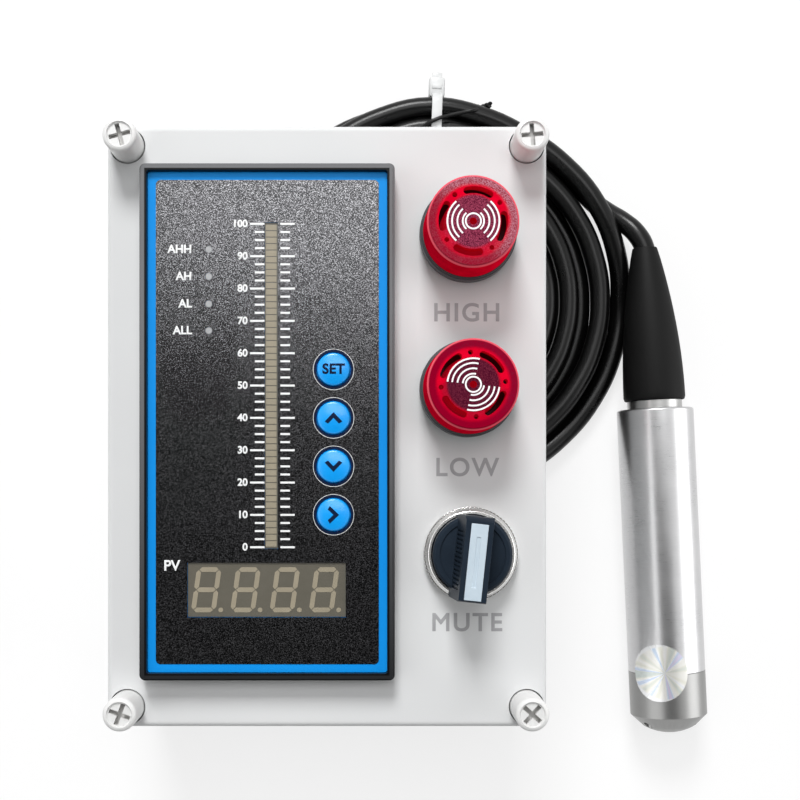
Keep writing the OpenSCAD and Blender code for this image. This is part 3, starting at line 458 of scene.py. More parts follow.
probeSet = {"foot": (90.91, -96.375, 14), "radius": 14, "tilt": 2.6}
stickerSet = {
    "middle": (86.3, -79.6), "along": 16.8, "radius": 10.4, "around": -24, "lift": 0.05, "thick": 0.08,
    "rings": 10, "steps": 72,
}
finishes = {
    "box": moulded(
        "boxPlastic", paint(205, 206, 207), paint(215, 216, 216), 0.5, 0.45, 0.012, 40,
        Specular_IOR_Level=0.25,
    ),
    "screw": recessedNylon(),
    "rubber": moulded(
        "blackRubber", paint(7, 7, 7), paint(14, 14, 14), 0.56, 0.5, 0.02, 12, Specular_IOR_Level=0.14,
    ),
    "strip": moulded("ivoryPlastic", paint(212, 206, 186), paint(226, 222, 204), 0.45, 0.6, 0.01, 9),
    "bezel": frameBlack(),
    "plate": moulded(
        "plateBlue", paint(6, 134, 218), paint(18, 148, 232), 0.4, 0.5, 0.006, 30, Specular_IOR_Level=0.12,
    ),
    "film": grainedFilm(),
    "case": moulded("casePlastic", paint(36, 36, 38), paint(46, 46, 48), 0.5, 0.6, 0.02, 18),
    "display": moulded("displayFace", paint(88, 85, 75), paint(98, 94, 84), 0.3, 2.0, 0.004, 14),
    "segment": moulded("segmentResin", paint(134, 126, 108), paint(156, 147, 127), 0.4, 0.8, 0.004, 6),
    "lamp": moulded("lampResin", paint(136, 138, 140), paint(178, 180, 182), 0.25, 0.7, 0.01, 3),
    "board": moulded("boardGreen", paint(24, 92, 48), paint(34, 112, 60), 0.35, 1.5, 0.01, 8),
    "switch": moulded("switchBlack", paint(34, 34, 34), paint(44, 44, 44), 0.5, 0.6, 0.01, 6),
    "relay": moulded("relayBlue", paint(38, 92, 172), paint(50, 106, 188), 0.3, 0.7, 0.01, 10),
    "winding": moulded("windingVarnish", paint(112, 58, 26), paint(150, 86, 40), 0.4, 0.5, 0.04, 5),
    "terminal": moulded("terminalGreen", paint(38, 124, 82), paint(52, 142, 96), 0.42, 0.6, 0.01, 9),
    "steel": metalPart("zincSteel", paint(196, 197, 200), 0.32, 0.4),
    "key": moulded("keyBlue", paint(2, 148, 236), paint(16, 164, 246), 0.24, 0.8, 0.006, 6),
    "highLens": clearRed("clearRed", "high_alarm_lens", paint(182, 128, 142), paint(160, 66, 92)),
    "lowLens": clearRed("clearRedLow", "low_alarm_lens", paint(118, 16, 44), paint(104, 36, 54)),
    "sign": moulded("signWhite", paint(240, 236, 238), paint(250, 248, 249), 0.4, 0.4, 0.005, 4),
    "alarm": moulded(
        "alarmGrey", paint(56, 57, 60), paint(70, 71, 74), 0.5, 0.5, 0.015, 10, Specular_IOR_Level=0.3,
    ),
    # Painted glow: the sounders give off red light, standing in for light coming in through the lens
    "sounder": moulded(
        "sounderRed", paint(150, 6, 28), paint(196, 10, 42), 0.4, 0.7, 0.01, 5, Specular_IOR_Level=0.2,
        Emission_Color=paint(190, 6, 34), Emission_Strength=0.3,
    ),
    "chrome": knurledChrome(),
    "knob": moulded(
        "knobBlack", paint(26, 34, 44), paint(40, 50, 61), 0.3, 0.5, 0.006, 8, Specular_IOR_Level=0.05,
    ),
    "insert": moulded("insertWhite", paint(176, 192, 204), paint(200, 213, 222), 0.3, 0.9, 0.008, 7),
    "tube": brushedTube(),
    "turned": metalPart("turnedStainless", paint(182, 182, 181), 0.32, 0.16, (30, 1, 30), 0.0012),
    "nose": metalPart("noseStainless", paint(150, 150, 149), 0.36, 0.16, (30, 1, 30), 0.0012),
    "jacket": moulded(
        "cableJacket", paint(4, 4, 4), paint(9, 9, 9), 0.28, 0.6, 0.006, 16, Specular_IOR_Level=0.24,
    ),
    "nylon": moulded("tieNylon", paint(196, 197, 197), paint(208, 209, 209), 0.4, 0.8, 0.008, 5),
    "tie": moulded("tieBlack", paint(8, 8, 8), paint(14, 14, 14), 0.4, 0.5, 0.01, 4, Specular_IOR_Level=0.2),
    "coreRed": moulded("coreRed", paint(176, 26, 24), paint(196, 36, 32), 0.36, 0.6, 0.006, 4),
    "coreBlack": moulded("coreBlack", paint(24, 24, 25), paint(36, 36, 37), 0.36, 0.6, 0.006, 4),
    "coreWhite": moulded("ventTube", paint(224, 224, 220), paint(236, 236, 232), 0.36, 0.6, 0.006, 4),
    "print": moulded("printWhite", paint(226, 228, 228), paint(240, 241, 241), 0.4, 0.4, 0.003, 5),
    "printGrey": moulded("captionGrey", paint(148, 148, 150), paint(160, 160, 162), 0.5, 0.4, 0.003, 5),
    "printNavy": moulded(
        "printNavy", paint(2, 20, 48), paint(6, 28, 60), 0.4, 0.6, 0.004, 5, Specular_IOR_Level=0.1,
    ),
    "foil": labelFoil(),
}
print("finishes made")


# Cable

cableSet = {
    "width": 7.5,
    # The middle of the coil; the lead, the tail and its cores are drawn from it
    "centre": (1.8, 57.8),
    # Radius of each turn, how much farther out it lies on the right, and its radius under the tie
    "slots": (72.75, 65.3, 57.7, 50.1, 43.9, 52.3, 60.6, 69),
    "spread": (0, 0, 0, 0, 0, 0, 3.5, 3.8),
    "tight": (72.75, 65.2, 57.7, 50.2, 50.2, 57.7, 65.2, 72.7),
    # Heights of the two layers
    "layers": (3.75, 11.25),
    "angles": (46, 2700),
    "step": 15,
    # Angles over which the cable goes over from one turn to the next, and climbs to the upper layer
    "crossing": (195, 275),
    "rise": (1220, 1275),
    # How far round the coil the spread, the tie's squeeze and the hump under the tie reach
    "spreadSpan": 75,
    "tieAngle": 88,
    "tieSpan": 22,
    "hump": 0.8,
    "humpAngle": 85,
    "humpSpan": 10,
    "lead": (
        (81.9, -1.2, 14), (80.1, 19.3, 14), (77.1, 25.2, 13), (72.6, 30, 10.4), (67.6, 34.2, 6.8),
        (62.4, 38.8, 4.4),
    ),
    "tail": (
        (-69.7, -14.2, 10.5), (-68.7, -32.2, 8), (-66.7, -50.2, 5), (-64.2, -68.2, 4), (-61.2, -85.2, 3.8),
        (-57.2, -101.2, 3.8), (-53.2, -114.2, 3.8),
    ),
    # Height of the last turn, by its angle: it sinks beside the others and humps over the lead
    "lastTurn": (
        (-85, 11.25), (-62, 8), (-40, 4.1), (-4, 4.1), (8, 6.6), (18, 11), (26, 12.2), (35, 12.4), (45, 12),
        (58, 11.4), (70, 11.25),
    ),
}


def eased(value, low, high):
    part = min(max((value - low) / (high - low), 0), 1)
    return part * part * (3 - 2 * part)


def bell(value, centre, width):
    # 1 at the centre's angle, less and less on both sides of it
    offset = (value - centre + 180) % 360 - 180
    return math.exp(-(offset / width) ** 2)


def keyed(value, keys):
    # Goes smoothly from the height at one key to that at the next
    if value <= keys[0][0]:
        return keys[0][1]
    for (low, first), (high, second) in zip(keys, keys[1:]):
        if value <= high:
            return first + (second - first) * eased(value, low, high)
    return keys[-1][1]


def fromCoil(place):
    x, y = cableSet["centre"]
    return Vector((x + place[0], y + place[1], place[2])) * mm


def aroundCoil(angle, radius, height):
    turn = math.radians(angle)
    return fromCoil((radius * math.cos(turn), radius * math.sin(turn), height))


def coilPoint(angle):
    low, high = cableSet["crossing"]
    turns = len(cableSet["slots"]) - 1
    place = sum(eased(angle, low + 360 * n, high + 360 * n) for n in range(turns))
    slot = min(int(place), turns - 1)
    part = place - slot
    wide = bell(angle, 0, cableSet["spreadSpan"])
    squeeze = bell(angle, cableSet["tieAngle"], cableSet["tieSpan"])
    radii = [
        (r + s * wide) * (1 - squeeze) + t * squeeze
        for r, s, t in zip(cableSet["slots"], cableSet["spread"], cableSet["tight"])
    ]
    radius = radii[slot] * (1 - part) + radii[slot + 1] * part
    under, over = cableSet["layers"]
    height = under + (over - under) * eased(angle, *cableSet["rise"])
    lastStart = low + 360 * (turns - 1)
    if angle > lastStart:
        height = keyed(angle - 360 * turns, cableSet["lastTurn"])
    height += cableSet["hump"] * bell(angle, cableSet["humpAngle"], cableSet["humpSpan"])
    return aroundCoil(angle, radius, height)


def cablePoints():
    start, end = cableSet["angles"]
    count = round((end - start) / cableSet["step"])
    coil = [coilPoint(start + (end - start) * n / count) for n in range(count)]
    return [fromCoil(p) for p in cableSet["lead"]] + coil + [fromCoil(p) for p in cableSet["tail"]]


def tubeCurve(points, radius, sides=4, steps=6, closed=False):
    data = bpy.data.curves.new("route", "CURVE")
    data.dimensions = "3D"
    data.bevel_depth = radius * mm
    data.bevel_resolution = sides
    data.resolution_u = steps
    data.use_fill_caps = True
    spline = data.splines.new("BEZIER")
    spline.bezier_points.add(len(points) - 1)
    for knot, place in zip(spline.bezier_points, points):
        knot.co = place
        knot.handle_left_type = "AUTO"
        knot.handle_right_type = "AUTO"
    spline.use_cyclic_u = closed
    piece = bpy.data.objects.new("route", data)
    bpy.context.scene.collection.objects.link(piece)
    return piece


def routeLength(points):
    # Length of the smooth curve through the points, from chords between points halfway along each arc
    total = 0
    for i in range(len(points) - 1):
        a, b, c, d = points[max(i - 1, 0)], points[i], points[i + 1], points[min(i + 2, len(points) - 1)]
        half = (9 * (b + c) - a - d) / 16
        total += (half - b).length + (c - half).length
    return total


coreSet = {
    "width": 2.0,
    "bare": 5.0,
    "wire": 0.9,
    # Part of the bared length that the wire also runs inside its core
    "inside": 0.1,
    "routes": {
        "coreRed": ((-54.8, -114.7, 3), (-54.2, -121.2, 2.6), (-55.6, -129.2, 1.6), (-55.2, -139.2, 1.1)),
        "coreBlack": ((-53.2, -114.2, 5.4), (-50.8, -121.2, 4.8), (-47.2, -129.2, 2.6), (-41.2, -136.2, 1.1)),
        "coreWhite": ((-51.6, -113.7, 3), (-50, -120.2, 2), (-49.2, -128.2, 1.2), (-48.2, -139.2, 1.1)),
    },
}


def makeCores():
    made = []
    for color, route in coreSet["routes"].items():
        points = [fromCoil(p) for p in route]
        last = points[-1] - points[-2]
        # The white one is the vent tube, which holds no wire
        conducts = color != "coreWhite"
        points[-1] -= last.normalized() * coreSet["bare"] * mm * conducts
        core = asMesh(tubeCurve(points, coreSet["width"] / 2, 3, 8))
        made.append(placed(core, color, "housing", finishes[color]))
        if conducts:
            ends = [points[-1] - last * coreSet["inside"], fromCoil(route[-1])]
            wire = asMesh(tubeCurve(ends, coreSet["wire"] / 2, 3, 3))
            made.append(placed(wire, color + "Wire", "housing", finishes["steel"]))
    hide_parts("cable_cores")
    return made


tieSet = {
    # The strap round the bundle: its angle on the coil, its section, and the radii and heights it spans
    "angle": 88, "width": 3.8, "thick": 1.2, "inside": 46.4, "outside": 76.5, "bottom": 1.0, "top": 15.6,
    "corner": 3.0, "rounding": 0.25, "sharp": 50,
    # Head, cut end and slot: size outwards, up and along; middle, outwards from the strap and up; rounding
    "blocks": (
        ((7.6, 4.8, 6.0), (4.6, 7.6), 1.0),
        ((2.9, 1.3, 3.8), (8.85, 8.0), 0.2),
        ((1.6, 0.8, 3.6), (4.6, 10.0), 0.15),
    ),
}
twistSet = {
    "wire": 0.7,
    # Angle, radius and height of each bend of the loop
    "loop": (
        (76, 74.6, 9.8), (76.4, 72.8, 15.2), (80, 70.6, 16.2), (84, 68.6, 17), (88, 66.6, 18),
        (92, 64.2, 17.2), (94, 60.6, 16.2), (92, 55, 15.8), (86, 49.6, 15.2), (80, 46.9, 12.5),
        (77, 46.4, 8), (76, 47.4, 1.4), (76, 58, 0.8), (76, 72, 0.8), (76, 77.2, 3.4),
    ),
    # The twisted tails: angles, radii and heights of their two ends
    "tails": (75.6, 72.8), "tailRadius": (74.9, 77.4), "tailHeight": (10, 10.8),
    "steps": 24, "twists": 1.7, "twistRadius": 0.6, "opening": 0.2,
}


def acrossBundle(angle):
    # Local X points outwards from the coil's centre, Y up and Z back along the coil
    turn = math.radians(angle)
    outwards = Vector((math.cos(turn), math.sin(turn), 0))
    up = Vector((0, 0, 1))
    back = outwards.cross(up)
    matrix = Matrix((outwards, up, back)).transposed().to_4x4()
    matrix.translation = aroundCoil(angle, 0, 0)
    return matrix


def roundedLoop(low, high, bottom, upper, corner, steps=6):
    points = []
    for cx, cy, start in (
        (high - corner, bottom + corner, -90), (high - corner, upper - corner, 0),
        (low + corner, upper - corner, 90), (low + corner, bottom + corner, 180),
    ):
        for n in range(steps + 1):
            turn = math.radians(start + 90 * n / steps)
            x, y = cx + corner * math.cos(turn), cy + corner * math.sin(turn)
            points.append(Vector((x, y, 0)) * mm)
    return points


def ribbon(points, width):
    data = bpy.data.curves.new("ribbon", "CURVE")
    data.dimensions = "3D"
    data.extrude = width * mm / 2
    spline = data.splines.new("POLY")
    spline.points.add(len(points) - 1)
    for knot, place in zip(spline.points, points):
        knot.co = (*place, 1)
    spline.use_cyclic_u = True
    piece = bpy.data.objects.new("ribbon", data)
    bpy.context.scene.collection.objects.link(piece)
    return asMesh(piece)


def addBlock(size, centre, bevel=0.0, segments=2):
    clearSelection()
    bpy.ops.mesh.primitive_cube_add(size=1, location=Vector(centre) * mm, scale=Vector(size) * mm)
    piece = bpy.context.object
    settle(piece)
    if bevel:
        edited(piece, lambda: bpy.ops.mesh.bevel(offset=bevel * mm, segments=segments, affect="EDGES"))
    return piece


def makeCableTie():
    low, high = tieSet["inside"], tieSet["outside"]
    loop = roundedLoop(low, high, tieSet["bottom"], tieSet["top"], tieSet["corner"])
    strap = turnedOut(ribbon(loop, tieSet["width"]))
    applied(strap, "SOLIDIFY", thickness=tieSet["thick"] * mm, offset=1)
    applied(
        strap, "BEVEL", width=tieSet["rounding"] * mm, segments=2, limit_method="ANGLE",
        angle_limit=math.radians(tieSet["sharp"]),
    )
    parts = [strap]
    for size, (out, up), rounding in tieSet["blocks"]:
        parts.append(addBlock(size, (high + out, up, 0), rounding))
    tie = joined(parts)
    tie.matrix_world = acrossBundle(tieSet["angle"])
    return placed(tie, "cableTie", "housing", finishes["nylon"], ["cable_tie"])


def twistedTail(phase):
    points = []
    for n in range(twistSet["steps"] + 1):
        part = n / twistSet["steps"]
        spans = (twistSet["tails"], twistSet["tailRadius"], twistSet["tailHeight"])
        angle, radius, height = (start + (end - start) * part for start, end in spans)
        turn = phase + part * twistSet["twists"] * 2 * math.pi
        out = twistSet["twistRadius"] * min(1, part / twistSet["opening"])
        points.append(aroundCoil(angle, radius + out * math.cos(turn), height + out * math.sin(turn)))
    return asMesh(tubeCurve(points, twistSet["wire"], 3, 3))


def makeTwistTie():
    loop = asMesh(tubeCurve([aroundCoil(*p) for p in twistSet["loop"]], twistSet["wire"], 3, 6, True))
    wires = joined([loop, twistedTail(0), twistedTail(math.pi)])
    return placed(wires, "twistTie", "housing", finishes["tie"], ["twist_tie"])


def makeCable():
    points = cablePoints()
    cable = tubeCurve(points, cableSet["width"] / 2, 6, 5)
    solids = ["cable_lead", "cable_coil", "cable_tail"]
    placed(cable, "cable", "housing", finishes["jacket"], solids)
    length = routeLength(points)
    print("cable length", round(length, 3))
    tuple(fromCoil(cableSet["lead"][1]))
    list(makeCores())
    makeCableTie()
    makeTwistTie()


makeCable()
print("cable made")


# CAD pieces with softened edges

def copied(node, name, finish, body="housing"):
    piece = nodes[node].copy()
    piece.data = nodes[node].data.copy()
    for key in list(piece.keys()):
        del piece[key]
    bpy.context.scene.collection.objects.link(piece)
    piece.parent = None
    pick(piece)
    bpy.ops.mesh.customdata_custom_splitnormals_clear()
    edited(piece, mergeTwins)
    return placed(piece, name, body, finish, [node])


# Angles under which two faces are one flat, and over which their edge is softened
edgeSet = {"flat": 0.5, "sharp": 32, "segments": 2}


def softened(node, name, finish, width, body="housing"):
    piece = copied(node, name, finish, body)
    edited(piece, lambda: bpy.ops.mesh.dissolve_limited(angle_limit=math.radians(edgeSet["flat"])))
    applied(
        piece, "BEVEL", width=width * mm, segments=edgeSet["segments"], limit_method="ANGLE",
        angle_limit=math.radians(edgeSet["sharp"]), harden_normals=False, use_clamp_overlap=True,
    )
    smooth(piece)
    return piece


softSet = {
    # Solid: the piece's name, its slot, its finish and the width of its softened edges
    "enclosure_base": ("boxBase", "box_plastic", "box", 0.4),
    "enclosure_cover": ("boxCover", "box_plastic", "box", 0.3),
    "meter_bezel": ("meterBezel", "bezel_plastic", "bezel", 0.35),
    "high_alarm_base": ("highAlarmBase", "alarm_grey", "alarm", 0.3),
    "low_alarm_base": ("lowAlarmBase", "alarm_grey", "alarm", 0.3),
    "selector_ring": ("selectorRing", "chrome", "chrome", 0.12),
    "probe_nose": ("probeNose", "stainless", "nose", 0.2),
    "probe_head": ("probeHead", "stainless", "turned", 0.2),
    "probe_tube": ("probeTube", "stainless", "tube", 0.15),
    "probe_boot": ("probeBoot", "rubber", "rubber", 0.5),
    "cable_grommets": ("cableGrommets", "rubber", "rubber", 0.3),
}
keyBodies = {"key_set": "set_key", "key_up": "up_key", "key_down": "down_key", "key_shift": "shift_key"}
movingSet = {
    "selector_knob": ("selectorKnob", "knob_black", "knob", 0.14, "selector"),
    "selector_insert": ("selectorInsert", "insert_white", "insert", 0.25, "selector"),
    **{node: (node + "Cap", "key_blue", "key", 0.15, body) for node, body in keyBodies.items()},
}
bootSet = {"lean": 1.1, "curve": 1.5}


def leanBoot(boot):
    # The rubber boot is pulled towards the coil by the cable
    low, high = (corner[1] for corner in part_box("probe_boot"))
    for vertex in boot.data.vertices:
        part = (vertex.co.y - low) / (high - low)
        vertex.co.x -= bootSet["lean"] * mm * max(part, 0) ** bootSet["curve"]


def turnScrew(screws):
    # The upper right screw stands another way than in the solid
    centre, high = middle("cover_screws"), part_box("cover_screws")[1]
    axis = Vector((high[0], high[1], 0)) - Vector((1, 1, 0)) * screwSet["headRadius"] * mm
    turn = Matrix.Translation(axis) @ Matrix.Rotation(math.radians(screwSet["turned"]), 4, "Z")
    turn = turn @ Matrix.Translation(-axis)
    for vertex in screws.data.vertices:
        if vertex.co.x > centre.x and vertex.co.y > centre.y:
            vertex.co = turn @ vertex.co


def softenPieces():
    for node, (name, slot, finish, width) in softSet.items():
        softened(node, name, finishes[finish], width)
    leanBoot(bpy.data.objects["probeBoot"])
    turnScrew(copied("cover_screws", "coverScrews", finishes["screw"]))
    for node, (name, slot, finish, width, body) in movingSet.items():
        softened(node, name, finishes[finish], width, body)


softenPieces()
print("edges softened")


# CAD pieces that keep their shape

plainFinishes = {
    "cover_gasket": "rubber", "wiring_strip": "strip", "terminal_screws": "steel",
    "meter_front_plate": "plate", "meter_film": "film", "meter_case": "case", "bar_display": "display",
    "bar_segments": "segment", "digit_display": "display", "digit_segments": "segment",
    "alarm_leds": "lamp", "display_board": "board", "key_switches": "switch", "relay_board": "board",
    "relays": "relay", "transformer": "winding", "meter_terminals": "terminal", "meter_clamps": "steel",
    "clamp_screws": "steel",
    "high_alarm_lens": "highLens", "high_alarm_marks": "sign", "high_alarm_sounder": "sounder",
    "high_alarm_seal": "rubber", "high_alarm_nut": "case", "low_alarm_lens": "lowLens",
    "low_alarm_marks": "sign", "low_alarm_sounder": "sounder", "low_alarm_seal": "rubber",
    "low_alarm_nut": "case",
    "selector_body": "alarm", "selector_nut": "chrome", "selector_contacts": "terminal",
    "selector_shaft": "case",
    "probe_sensor": "turned", "probe_seals": "rubber", "probe_board": "board",
}
for node, finish in plainFinishes.items():
    nodes[node].data.materials.clear()
    nodes[node].data.materials.append(finishes[finish])
print("CAD pieces finished")


# Print on the meter and the cover

printSet = {
    # Thickness of the print, its depth in the skin, and the height of a capital at a text size of 1
    "thick": 0.05, "sink": 0.01, "capital": 0.729,
}
meterSet = {
    # Heights of 0 and 100, the bar's middle, and the gap between it and the marks on its left and right
    "zero": -39.3, "full": 62.2, "bar": 1.2, "tickStart": {-1: 2.1, 1: 2.92},
    "tickLong": 4.5, "tickShort": 3.0, "tickWide": 0.62, "longTicks": 11, "allTicks": 41,
    "numberRight": -6.2, "numberHeight": 2.3, "numberStep": 10,
    "labels": {"AHH": 54.2, "AH": 45.7, "AL": 37.1, "ALL": 28.7}, "labelRight": -23.7, "labelHeight": 2.6,
    "pvAt": (-30.0, -45.2), "pvHeight": 3.35, "weight": 0.1,
}


def laidOn(piece, x, y, z):
    # The print's underside lies just in the skin of what it is printed on
    piece.location = (x, y, z - printSet["sink"] * mm)
    settle(piece)
    return turnedOut(piece)


def writeText(words, x, y, z, capHeight, align="CENTER", weight=0.0, spacing=1.0):
    clearSelection()
    bpy.ops.object.text_add(location=(0, 0, 0))
    piece = bpy.context.object
    data = piece.data
    data.body = words
    data.align_x = align
    data.align_y = "CENTER"
    data.size = capHeight * mm / printSet["capital"]
    data.extrude = printSet["thick"] * mm / 2
    data.bevel_depth = weight * mm
    data.bevel_resolution = 0
    data.space_character = spacing
    piece = asMesh(piece)
    # The bevel makes the strokes bolder; it is pressed flat again
    piece.scale.z = printSet["thick"] / (printSet["thick"] + 2 * weight)
    return laidOn(piece, x, y, z + printSet["thick"] * mm / 2)


def printFlat(points, x, y, z):
    data = bpy.data.curves.new("flat", "CURVE")
    data.dimensions = "2D"
    data.fill_mode = "BOTH"
    data.extrude = printSet["thick"] * mm / 2
    spline = data.splines.new("POLY")
    spline.points.add(len(points) - 1)
    for knot, place in zip(spline.points, points):
        knot.co = (place[0] * mm, place[1] * mm, 0, 1)
    spline.use_cyclic_u = True
    piece = bpy.data.objects.new("flat", data)
    bpy.context.scene.collection.objects.link(piece)
    return laidOn(asMesh(piece), x, y, z + printSet["thick"] * mm / 2)


def printRing(inner, outer, x, y, z, steps=96):
    clearSelection()
    bpy.ops.mesh.primitive_circle_add(vertices=steps, radius=outer * mm, fill_type="NGON")
    piece = bpy.context.object
    edited(
        piece,
        lambda: bpy.ops.mesh.inset(thickness=(outer - inner) * mm),
        lambda: bpy.ops.mesh.delete(type="FACE"),
    )
    applied(piece, "SOLIDIFY", thickness=printSet["thick"] * mm, offset=1)
    return laidOn(piece, x, y, z)


def tickRow(side, start, length, count, centre, z):
    span = (meterSet["full"] - meterSet["zero"]) / (count - 1)
    inner = meterSet["tickStart"][side] + start
    tick = addBlock(
        (length, meterSet["tickWide"], printSet["thick"]),
        (
            centre.x / mm + meterSet["bar"] + side * (inner + length / 2),
            centre.y / mm + meterSet["zero"],
            z / mm + printSet["thick"] / 2 - printSet["sink"],
        ),
    )
    applied(
        tick, "ARRAY", count=count, use_relative_offset=False, use_constant_offset=True,
        constant_offset_displace=(0, span * mm, 0),
    )
    return tick


def writeOnMeter(words, x, y, capHeight, align="RIGHT"):
    centre = middle("meter_bezel")
    return writeText(
        words, centre.x + x * mm, centre.y + y * mm, top("meter_film"), capHeight, align, meterSet["weight"],
    )


def printMeter():
    centre = middle("meter_bezel")
    face = top("meter_film")
    short = meterSet["tickShort"]
    ticks = []
    for side in (-1, 1):
        ticks.append(tickRow(side, 0, short, meterSet["allTicks"], centre, face))
        ticks.append(tickRow(side, short, meterSet["tickLong"] - short, meterSet["longTicks"], centre, face))
    placed(joined(ticks), "scaleTicks", "housing", finishes["print"])
    numbers = []
    for number in range(0, 101, meterSet["numberStep"]):
        y = meterSet["zero"] + (meterSet["full"] - meterSet["zero"]) * number / 100
        numbers.append(writeOnMeter(str(number), meterSet["numberRight"], y, meterSet["numberHeight"]))
    placed(joined(numbers), "scaleNumbers", "housing", finishes["print"])
    labels = [
        writeOnMeter(words, meterSet["labelRight"], y, meterSet["labelHeight"])
        for words, y in meterSet["labels"].items()
    ]
    labels.append(writeOnMeter("PV", *meterSet["pvAt"], meterSet["pvHeight"], "CENTER"))
    placed(joined(labels), "meterLabels", "housing", finishes["print"])


keySet = {
    "ring": (5.5, 6.12), "outline": (6.32, 6.46), "glyphHeight": 3.15, "weight": 0.15, "spacing": 1.06,
    "turns": {"key_up": 0, "key_down": 180, "key_shift": -90},
    # An arrow head that points up, before it is turned
    "arrow": ((-2.75, -1.15), (0, 1.75), (2.75, -1.15), (1.7, -1.8), (0, -0.02), (-1.7, -1.8)),
}


def chevron(turn):
    cosine, sine = math.cos(math.radians(turn)), math.sin(math.radians(turn))
    return [(x * cosine - y * sine, x * sine + y * cosine) for x, y in keySet["arrow"]]


def printKeys():
    face = top("meter_film")
    rings, outlines = [], []
    for node, body in keyBodies.items():
        spot = middle(node)
        rings.append(printRing(*keySet["ring"], spot.x, spot.y, face))
        outlines.append(printRing(*keySet["outline"], spot.x, spot.y, face))
        cap = top(node)
        if node in keySet["turns"]:
            glyph = printFlat(chevron(keySet["turns"][node]), spot.x, spot.y, cap)
        else:
            glyph = writeText(
                "SET", spot.x, spot.y, cap, keySet["glyphHeight"], "CENTER", keySet["weight"],
                keySet["spacing"],
            )
        placed(glyph, node + "Glyph", body, finishes["printNavy"])
    placed(joined(rings), "keyRings", "housing", finishes["printNavy"])
    placed(joined(outlines), "keyOutlines", "housing", finishes["print"])


captionSet = {
    # Solid that each caption stands below, and the caption's place from its middle
    "words": {
        "HIGH": ("high_alarm_base", 0, -24.6), "LOW": ("low_alarm_base", 0, -24.9),
        "MUTE": ("selector_ring", -1.1, -22.2),
    },
    "height": 5.9, "weight": 0.16, "spacing": 1.15,
}


def printCaptions():
    captions = []
    for words, (node, x, y) in captionSet["words"].items():
        spot = middle(node)
        captions.append(writeText(
            words, spot.x + x * mm, spot.y + y * mm, top("enclosure_cover"), captionSet["height"], "CENTER",
            captionSet["weight"], captionSet["spacing"],
        ))
    placed(joined(captions), "captions", "housing", finishes["printGrey"])


printMeter()
printKeys()
printCaptions()
print("print made")


# Foil disc on the probe

def makeSticker():
    clearSelection()
    bpy.ops.mesh.primitive_circle_add(
        vertices=stickerSet["steps"], radius=stickerSet["radius"] * mm, fill_type="NGON", location=(0, 0, 0)
    )
    piece = bpy.context.object
    bpy.ops.object.mode_set(mode="EDIT")
    bpy.ops.mesh.select_mode(type="FACE")
    for n in range(stickerSet["rings"] - 1):
        bpy.ops.mesh.select_all(action="SELECT")
        if n:
            # After the first inset, only the face left in the middle is drawn in farther
            mesh = bmesh.from_edit_mesh(piece.data)
            for face in mesh.faces:
                face.select_set(len(face.verts) > 4)
            bmesh.update_edit_mesh(piece.data)
        bpy.ops.mesh.inset(thickness=stickerSet["radius"] * mm / stickerSet["rings"])
    bpy.ops.object.mode_set(mode="OBJECT")
    radius = (probeSet["radius"] + stickerSet["lift"]) * mm
    for vertex in piece.data.vertices:
        across = vertex.co.x / radius + math.radians(stickerSet["around"])
        vertex.co = (radius * math.sin(across), vertex.co.y, radius * math.cos(across))
    applied(piece, "SOLIDIFY", thickness=stickerSet["thick"] * mm, offset=1)
    tilt = math.radians(probeSet["tilt"])
    along = Vector((-math.sin(tilt), math.cos(tilt), 0)) * stickerSet["along"]
    foot = Vector(probeSet["foot"]) + along
    piece.matrix_world = Matrix.Translation(foot * mm) @ Matrix.Rotation(tilt, 4, "Z")
    return placed(turnedOut(piece), "foilDisc", "housing", finishes["foil"])


makeSticker()
print("foil disc made")


# Floor and lights

roomSet = {
    # The floor's size in metres, its tone, and how much of what the camera sees of it is plain white
    "floor": 6.0, "paper": 0.9, "plainWhite": 0.75,
    # The room's light on dull surfaces, and what shiny ones mirror: pale all round, dark above the camera
    "ambient": 0.13, "pale": 1.0, "dark": 0.03, "darkSpot": (-0.08, -0.2, 0.97), "darkEdge": (0.85, 0.965),
    # Place, width and height, and power
    "lamps": {
        "key": ((-0.3, 2.16, 2.04), (0.9, 0.9), 76.0),
        "glare": ((0.06, 0.43, 1.35), (0.85, 0.46), 4.6),
        "right": ((2.0, -0.1, 0.75), (1.5, 1.5), 17.0),
        "left": ((-1.9, -0.2, 1.6), (2.2, 2.2), 16.0),
    },
}


def seenDirectly(tree):
    # 1 for what the camera sees straight, in a mirror or through glass
    path = tree.nodes.new("ShaderNodeLightPath")
    seen = path.outputs["Is Camera Ray"]
    for other in ("Is Glossy Ray", "Is Transmission Ray"):
        either = tree.nodes.new("ShaderNodeMath")
        either.operation = "MAXIMUM"
        tree.links.new(seen, either.inputs[0])
        tree.links.new(path.outputs[other], either.inputs[1])
        seen = either.outputs[0]
    return seen


def mapped(tree, source, span, result):
    made = tree.nodes.new("ShaderNodeMapRange")
    tree.links.new(source, made.inputs[0])
    for number, value in enumerate((*span, *result)):
        made.inputs[number + 1].default_value = value
    return made


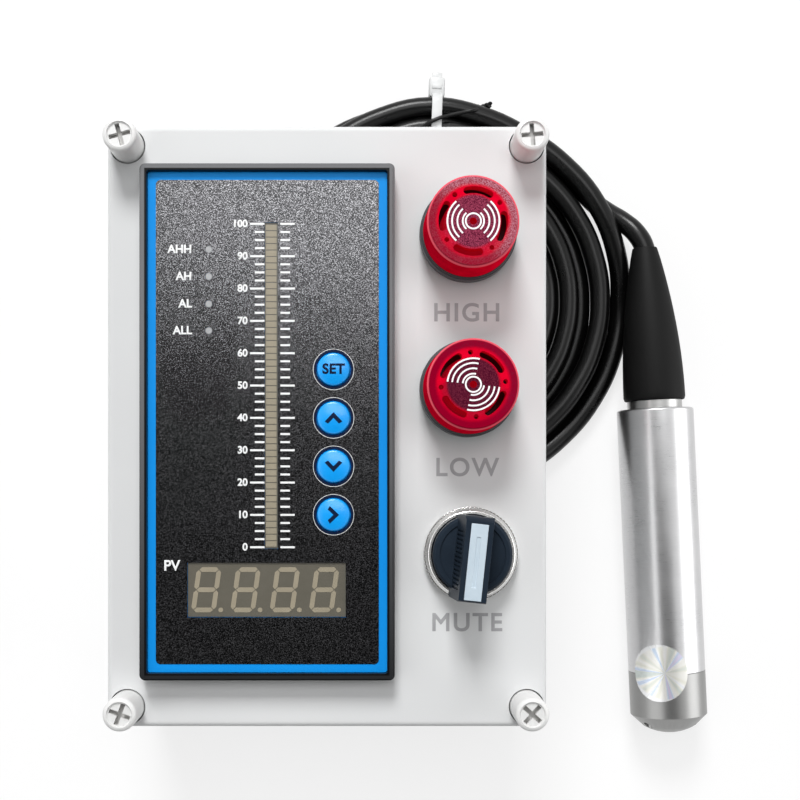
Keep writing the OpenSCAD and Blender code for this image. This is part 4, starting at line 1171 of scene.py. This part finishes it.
def makeFloor():
    clearSelection()
    bpy.ops.mesh.primitive_plane_add(size=roomSet["floor"], location=(0, 0, 0))
    floor = bpy.context.object
    floor.name = "floor"
    material = bpy.data.materials.new("floorPaper")
    material.use_nodes = True
    tree = material.node_tree
    shader = next(n for n in tree.nodes if n.type == "BSDF_PRINCIPLED")
    output = next(n for n in tree.nodes if n.type == "OUTPUT_MATERIAL")
    shader.inputs["Base Color"].default_value = (*[roomSet["paper"]] * 3, 1)
    shader.inputs["Roughness"].default_value = 0.9
    glow = tree.nodes.new("ShaderNodeEmission")
    glow.inputs["Strength"].default_value = 1.0
    part = mapped(tree, seenDirectly(tree), (0, 1), (0, roomSet["plainWhite"]))
    blend = tree.nodes.new("ShaderNodeMixShader")
    tree.links.new(part.outputs[0], blend.inputs[0])
    tree.links.new(shader.outputs[0], blend.inputs[1])
    tree.links.new(glow.outputs[0], blend.inputs[2])
    tree.links.new(blend.outputs[0], output.inputs["Surface"])
    floor.data.materials.append(material)


def makeLights():
    world = bpy.data.worlds.new("studio")
    bpy.context.scene.world = world
    world.use_nodes = True
    tree = world.node_tree
    background = next(n for n in tree.nodes if n.type == "BACKGROUND")
    seen = seenDirectly(tree)
    direction = tree.nodes.new("ShaderNodeTexCoord")
    nearness = tree.nodes.new("ShaderNodeVectorMath")
    nearness.operation = "DOT_PRODUCT"
    nearness.inputs[1].default_value = Vector(roomSet["darkSpot"]).normalized()
    tree.links.new(direction.outputs["Generated"], nearness.inputs[0])
    tones = (roomSet["pale"], roomSet["dark"])
    mirrored = mapped(tree, nearness.outputs["Value"], roomSet["darkEdge"], tones)
    mirrored.interpolation_type = "SMOOTHSTEP"
    strength = mapped(tree, seen, (0, 1), (roomSet["ambient"], 1))
    tree.links.new(mirrored.outputs[0], strength.inputs[4])
    background.inputs["Color"].default_value = (1, 1, 1, 1)
    tree.links.new(strength.outputs[0], background.inputs["Strength"])
    for name, (spot, size, power) in roomSet["lamps"].items():
        data = bpy.data.lights.new(name, "AREA")
        data.shape = "RECTANGLE"
        data.size, data.size_y = size
        data.energy = power
        lamp = bpy.data.objects.new(name, data)
        bpy.context.scene.collection.objects.link(lamp)
        lamp.location = spot
        lamp.rotation_euler = (-Vector(spot)).to_track_quat("-Z", "Y").to_euler()


makeFloor()
makeLights()
print("room made")
